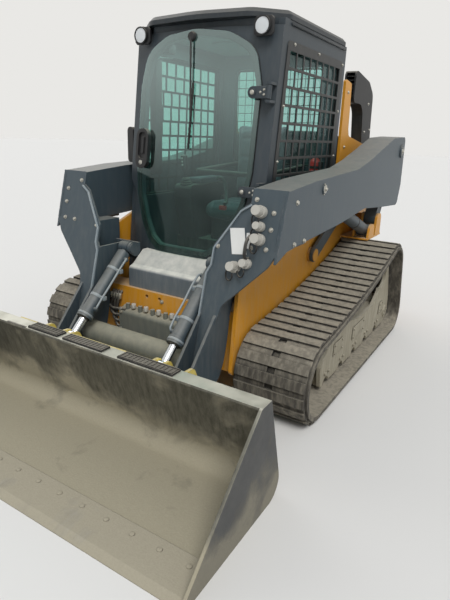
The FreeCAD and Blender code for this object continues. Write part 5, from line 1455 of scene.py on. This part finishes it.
@dataclass
class EngineEnd(Assembly):
    """The vents' mesh, latches, lamps' rims and bolts of the hood, rear door and bumper."""

    def build(self) -> None:
        """Make the pieces of the engine bay."""
        self._vents()
        self._rear_door()
        self._bumper()
        self._hood()
        self._duct()

    def _vents(self) -> None:
        """The woven mesh behind the side panels' slots, and the panels' bolts."""
        mesh = Shape().row(11, (0, 0, 0.0265), (0.472, 1.070, 1.116), (0.475, 1.630, 1.119))
        mesh.row(20, (0, 0.029, 0), (0.4705, 1.075, 1.110), (0.4735, 1.078, 1.385))
        self.pair("vent_mesh", "black", mesh)
        spots = ((0.900, 1.090), (0.900, 1.480), (0.868, 1.860), (1.760, 1.090), (1.760, 1.400), (1.320, 1.072))
        bolts = Shape().bolts_on("engine_panels", [(0.9, y, z) for y, z in spots], RIGHTWARD, 0.016, 0.006)
        bolts.bolts([(0.530, y, 1.052) for y in (0.920, 1.150, 1.340)], UP, 0.016, 0.006)
        self.pair("panel_bolts", "zinc", bolts)

    def _rear_door(self) -> None:
        """The rear door's mesh, latch and trim."""
        mesh = Shape().row(24, (0.030, 0, 0), (-0.3462, 1.8405, 0.704), (-0.3438, 1.8435, 1.326))
        mesh.row(21, (0, 0, 0.030), (-0.358, 1.8385, 0.720), (0.358, 1.8415, 0.7224))
        self.piece("grille_mesh", "black", mesh, Body.REAR_DOOR)
        latch = Shape().box((0.400, 1.8795, 0.930), (0.470, 1.8885, 1.060), 0.003)
        self.piece("rear_latch_plate", "plastic", latch, Body.REAR_DOOR)
        lever = Shape().box((0.418, 1.8805, 0.960), (0.452, 1.8895, 1.035), 0.003)
        self.piece("rear_latch_lever", "zinc", lever, Body.REAR_DOOR)
        trim = [(x, 1.8865, z) for x, z in ((-0.364, 0.696), (0.364, 0.696), (0.364, 1.334), (-0.364, 1.334))]
        self.pipes("grille_trim", "rubber", [rounded(trim, 0.022)], 0.0033, closed=True, body=Body.REAR_DOOR)

    def _bumper(self) -> None:
        """The tail lamps' rims and the bumper's bolts."""
        rim = [(x, 1.8810, z) for x, z in ((0.345, 0.425), (0.425, 0.425), (0.425, 0.495), (0.345, 0.495))]
        self.pipes("tail_lamp_rims", "rubber", [rounded(run, 0.008) for run in (rim, flipped(rim))], 0.0045,
                   closed=True)
        start = (0.480, 2.2, 0.350)
        self.pair("bumper_bolts", "zinc", Shape().bolts_on("rear_bumper", [start], FORWARD, 0.020, 0.006))

    def _hood(self) -> None:
        """The hood's screws and pull handle."""
        starts = [(0.330, y, 2.0) for y in (0.990, 1.300, 1.620, 1.780)]
        screws = Shape().bolts_on("hood", starts, DOWN, 0.012, 0.005, normal=(0, 0.11, 1))
        self.pair("hood_screws", "zinc", screws, Body.HOOD)
        handle = []
        for x, lift in ((-0.075, 0.0), (-0.070, 0.030), (0.0, 0.034), (0.070, 0.030), (0.075, 0.0)):
            handle += [(x, y, z - 0.002 + lift) for _, y, z in met("hood", [(x, 1.775, 2.0)], DOWN)]
        self.pipes("hood_handle", "black", [handle], 0.008, body=Body.HOOD)

    def _duct(self) -> None:
        """The duct's mouth bars and its bolted foot."""
        bars = Shape().row(6, (0, 0, 0.028), (0.396, 1.092, 1.850), (0.462, 1.097, 1.856), 0.001)
        self.piece("duct_bars", "black", bars)
        starts = [(0.7, y, z) for y, z in ((1.440, 1.600), (1.580, 1.620), (1.470, 1.820))]
        self.piece("duct_bolts", "zinc", Shape().bolts_on("exhaust_duct", starts, RIGHTWARD, 0.014, 0.005))


@dataclass
class Seat(Assembly):
    """The operator's padded seat, blown up by a cloth simulation inside the room its solids hold."""

    pressure: float = 4.0
    frames: int = 20
    cap: float = 0.022
    corner: float = 0.034
    voxel: float = 0.008
    groove: float = 0.010
    fill: float = 0.8

    def build(self) -> None:
        """Make the cushion and the backrest with their sewn channels."""
        cushion = self._pad("seat_pad", (-0.232, 0.078, 0.978), (0.232, 0.520, 1.062))
        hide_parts("seat_cushion")
        back = self._pad("seat_backrest", (-0.218, 0.488, 1.096), (0.218, 0.562, 1.622))
        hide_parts("seat_back")

    def _pad(self, name: str, low: Point, high: Point) -> bpy.types.Object:
        """Make one padded piece.

        Args:
            name: The piece's name.
            low: The lowest corner before it swells.
            high: The highest corner before it swells.

        Returns:
            The object.
        """
        shape = Shape().box(low, high)
        bmesh.ops.bevel(shape.bm, geom=shape.bm.edges[:], offset=self.corner, offset_type="OFFSET", segments=4,
                        profile=0.5, affect="EDGES", material=-1)
        made = shape.done(name, self.BODY, self.looks["vinyl"], sharp=80.0)
        self._channels(made, low, high)
        self._swell(made)
        grown = made.modifiers.new("smooth", "SUBSURF")
        grown.levels = 1
        grown.render_levels = 1
        self._apply(made)
        return made

    def _apply(self, made: bpy.types.Object) -> None:
        """Replace a piece's mesh by what its modifiers make of it."""
        graph = bpy.context.evaluated_depsgraph_get()
        mesh = bpy.data.meshes.new_from_object(made.evaluated_get(graph))
        made.modifiers.clear()
        old = made.data
        made.data = mesh
        bpy.data.meshes.remove(old)
        mesh.polygons.foreach_set("use_smooth", [True] * len(mesh.polygons))

    def _channels(self, made: bpy.types.Object, low: Point, high: Point) -> None:
        """Remesh the block finely, then press three cross channels and two side ones into its face.

        Args:
            made: The block.
            low: Its lowest corner.
            high: Its highest corner.
        """
        fine = made.modifiers.new("fine", "REMESH")
        fine.mode = "VOXEL"
        fine.voxel_size = self.voxel
        self._apply(made)
        tall = high[2] - low[2] > high[1] - low[1]
        first, last = (low[2], high[2]) if tall else (low[1], high[1])
        for vert in made.data.vertices:
            reach = vert.co.z if tall else vert.co.y
            depth = 0.0
            for share in (0.30, 0.55, 0.80):
                near = abs(reach - (first + (last - first) * share))
                depth = max(depth, self.groove * max(0.0, 1 - near / 0.018))
            inner = max(0.0, 1 - (abs(vert.co.x) / (0.78 * high[0])) ** 6)
            for side in (Side.RIGHT, Side.LEFT):
                near = abs(vert.co.x - side.value * 0.72 * high[0])
                depth = max(depth * inner, self.groove * max(0.0, 1 - near / 0.016))
            if tall and vert.co.y < (low[1] + high[1]) / 2:
                vert.co.y += depth
            if not tall and vert.co.z > (low[2] + high[2]) / 2:
                vert.co.z -= depth

    def _swell(self, made: bpy.types.Object) -> None:
        """Blow the pad up as cloth, with a cap on how far any point may move."""
        before = [v.co.copy() for v in made.data.vertices]
        cloth = made.modifiers.new("cloth", "CLOTH")
        cloth.settings.use_pressure = True
        cloth.settings.uniform_pressure_force = self.pressure
        cloth.settings.effector_weights.gravity = 0.0
        cloth.settings.quality = 5
        scene = bpy.context.scene
        for step in range(1, self.frames + 1):
            scene.frame_set(step)
        graph = bpy.context.evaluated_depsgraph_get()
        moved = [v.co.copy() for v in made.evaluated_get(graph).data.vertices]
        made.modifiers.clear()
        for vert, old, new in zip(made.data.vertices, before, moved):
            way = new - old
            if way.length > self.cap:
                way *= self.cap / way.length
            vert.co = old + way
        scene.frame_set(1)


class Studio:
    """The camera of the photo, a pale floor and soft light."""

    CAMERA: Point = (1.792, -2.898, 1.540)
    AZIMUTH = 31.11
    PITCH = 18.56
    ROLL = 2.19
    FOCAL_PX = 493.4
    IMAGE: tuple[int, int] = (450, 600)
    SENSOR = 24.0
    FLOOR_HALF = 60.0

    def build(self) -> None:
        """Place the camera, the floor, the sky and the lamps."""
        self._camera()
        self._floor()
        self._sky()
        for name, energy, size, turn in (("soft_sun", 2.1, 26.0, (38.0, 6.0, 34.0)),
                                         ("fill_sun", 0.7, 50.0, (52.0, 0.0, -120.0))):
            sun = bpy.data.lights.new(name, "SUN")
            sun.energy = energy
            sun.angle = math.radians(size)
            self._link(name, sun).rotation_euler = [math.radians(a) for a in turn]
        panel = bpy.data.lights.new("cab_fill", "AREA")
        panel.energy = 5.0
        panel.shape = "RECTANGLE"
        panel.size = 0.70
        panel.size_y = 0.60
        self._link("cab_fill", panel).location = (0.0, 0.20, 2.085)
        bpy.context.scene.view_settings.view_transform = "Standard"

    def _link(self, name: str, data: bpy.types.ID) -> bpy.types.Object:
        """Put a new object in the scene."""
        made = bpy.data.objects.new(name, data)
        bpy.context.scene.collection.objects.link(made)
        return made

    def _camera(self) -> None:
        """Set the camera where the photo was taken from."""
        az, pitch, roll = (math.radians(a) for a in (self.AZIMUTH, self.PITCH, self.ROLL))
        ahead = Vector((-math.sin(az) * math.cos(pitch), math.cos(az) * math.cos(pitch), -math.sin(pitch)))
        right = Vector((math.cos(az), math.sin(az), 0))
        up = right.cross(ahead)
        tilted = right * math.cos(roll) + up * math.sin(roll)
        upright = up * math.cos(roll) - right * math.sin(roll)
        data = bpy.data.cameras.new("photo_camera")
        data.sensor_fit = "VERTICAL"
        data.sensor_height = self.SENSOR
        data.lens = self.FOCAL_PX / self.IMAGE[1] * self.SENSOR
        camera = self._link("photo_camera", data)
        basis = Matrix((tilted, upright, -ahead)).transposed().to_4x4()
        camera.matrix_world = Matrix.Translation(self.CAMERA) @ basis
        bpy.context.scene.camera = camera

    def _floor(self) -> None:
        """Lay a plain pale floor."""
        bm = bmesh.new()
        bmesh.ops.create_grid(bm, x_segments=1, y_segments=1, size=self.FLOOR_HALF)
        mesh = bpy.data.meshes.new("floor")
        bm.to_mesh(mesh)
        bm.free()
        mesh.materials.append(Graph("matt_studio_floor").principled({"Base Color": srgb("#d9d7d3"),
                                                                     "Roughness": 0.95}))
        self._link("floor", mesh)

    def _sky(self) -> None:
        """A pale sky to light by, and a nearly white one for the eye, the glass and reflections."""
        world = bpy.data.worlds.new("studio")
        world.use_nodes = True
        tree = world.node_tree
        tree.nodes.clear()
        path = add(tree, "LightPath").outputs
        through = add(tree, "Math", {0: path["Is Camera Ray"], 1: path["Is Transmission Ray"]},
                      operation="MAXIMUM").outputs["Value"]
        seen = add(tree, "Math", {0: through, 1: path["Is Glossy Ray"]}, operation="MAXIMUM").outputs["Value"]
        sky = add(tree, "Background", {"Color": srgb("#dfe4ea"), "Strength": 0.62}).outputs["Background"]
        back = add(tree, "Background", {"Color": srgb("#e9e8e5"), "Strength": 1.0}).outputs["Background"]
        both = add(tree, "MixShader", {0: seen, 1: sky, 2: back}).outputs["Shader"]
        add(tree, "OutputWorld", {"Surface": both})
        bpy.context.scene.world = world


def main() -> None:
    """Dress the frame, add each sub-assembly's fittings, then the studio."""
    logging.basicConfig(level=logging.INFO, format="%(message)s")
    looks = Finishes()
    FrameFinish(looks).dress()
    for assembly in (Undercarriage, CabShell, CabInside, DoorFittings, BoomFittings, Cylinders, BucketFittings,
                     FrontFrame, EngineEnd, Seat):
        log.info("%s", assembly.__name__)
        assembly(looks).build()
    Studio().build()


if __name__ == "__main__":
    main()
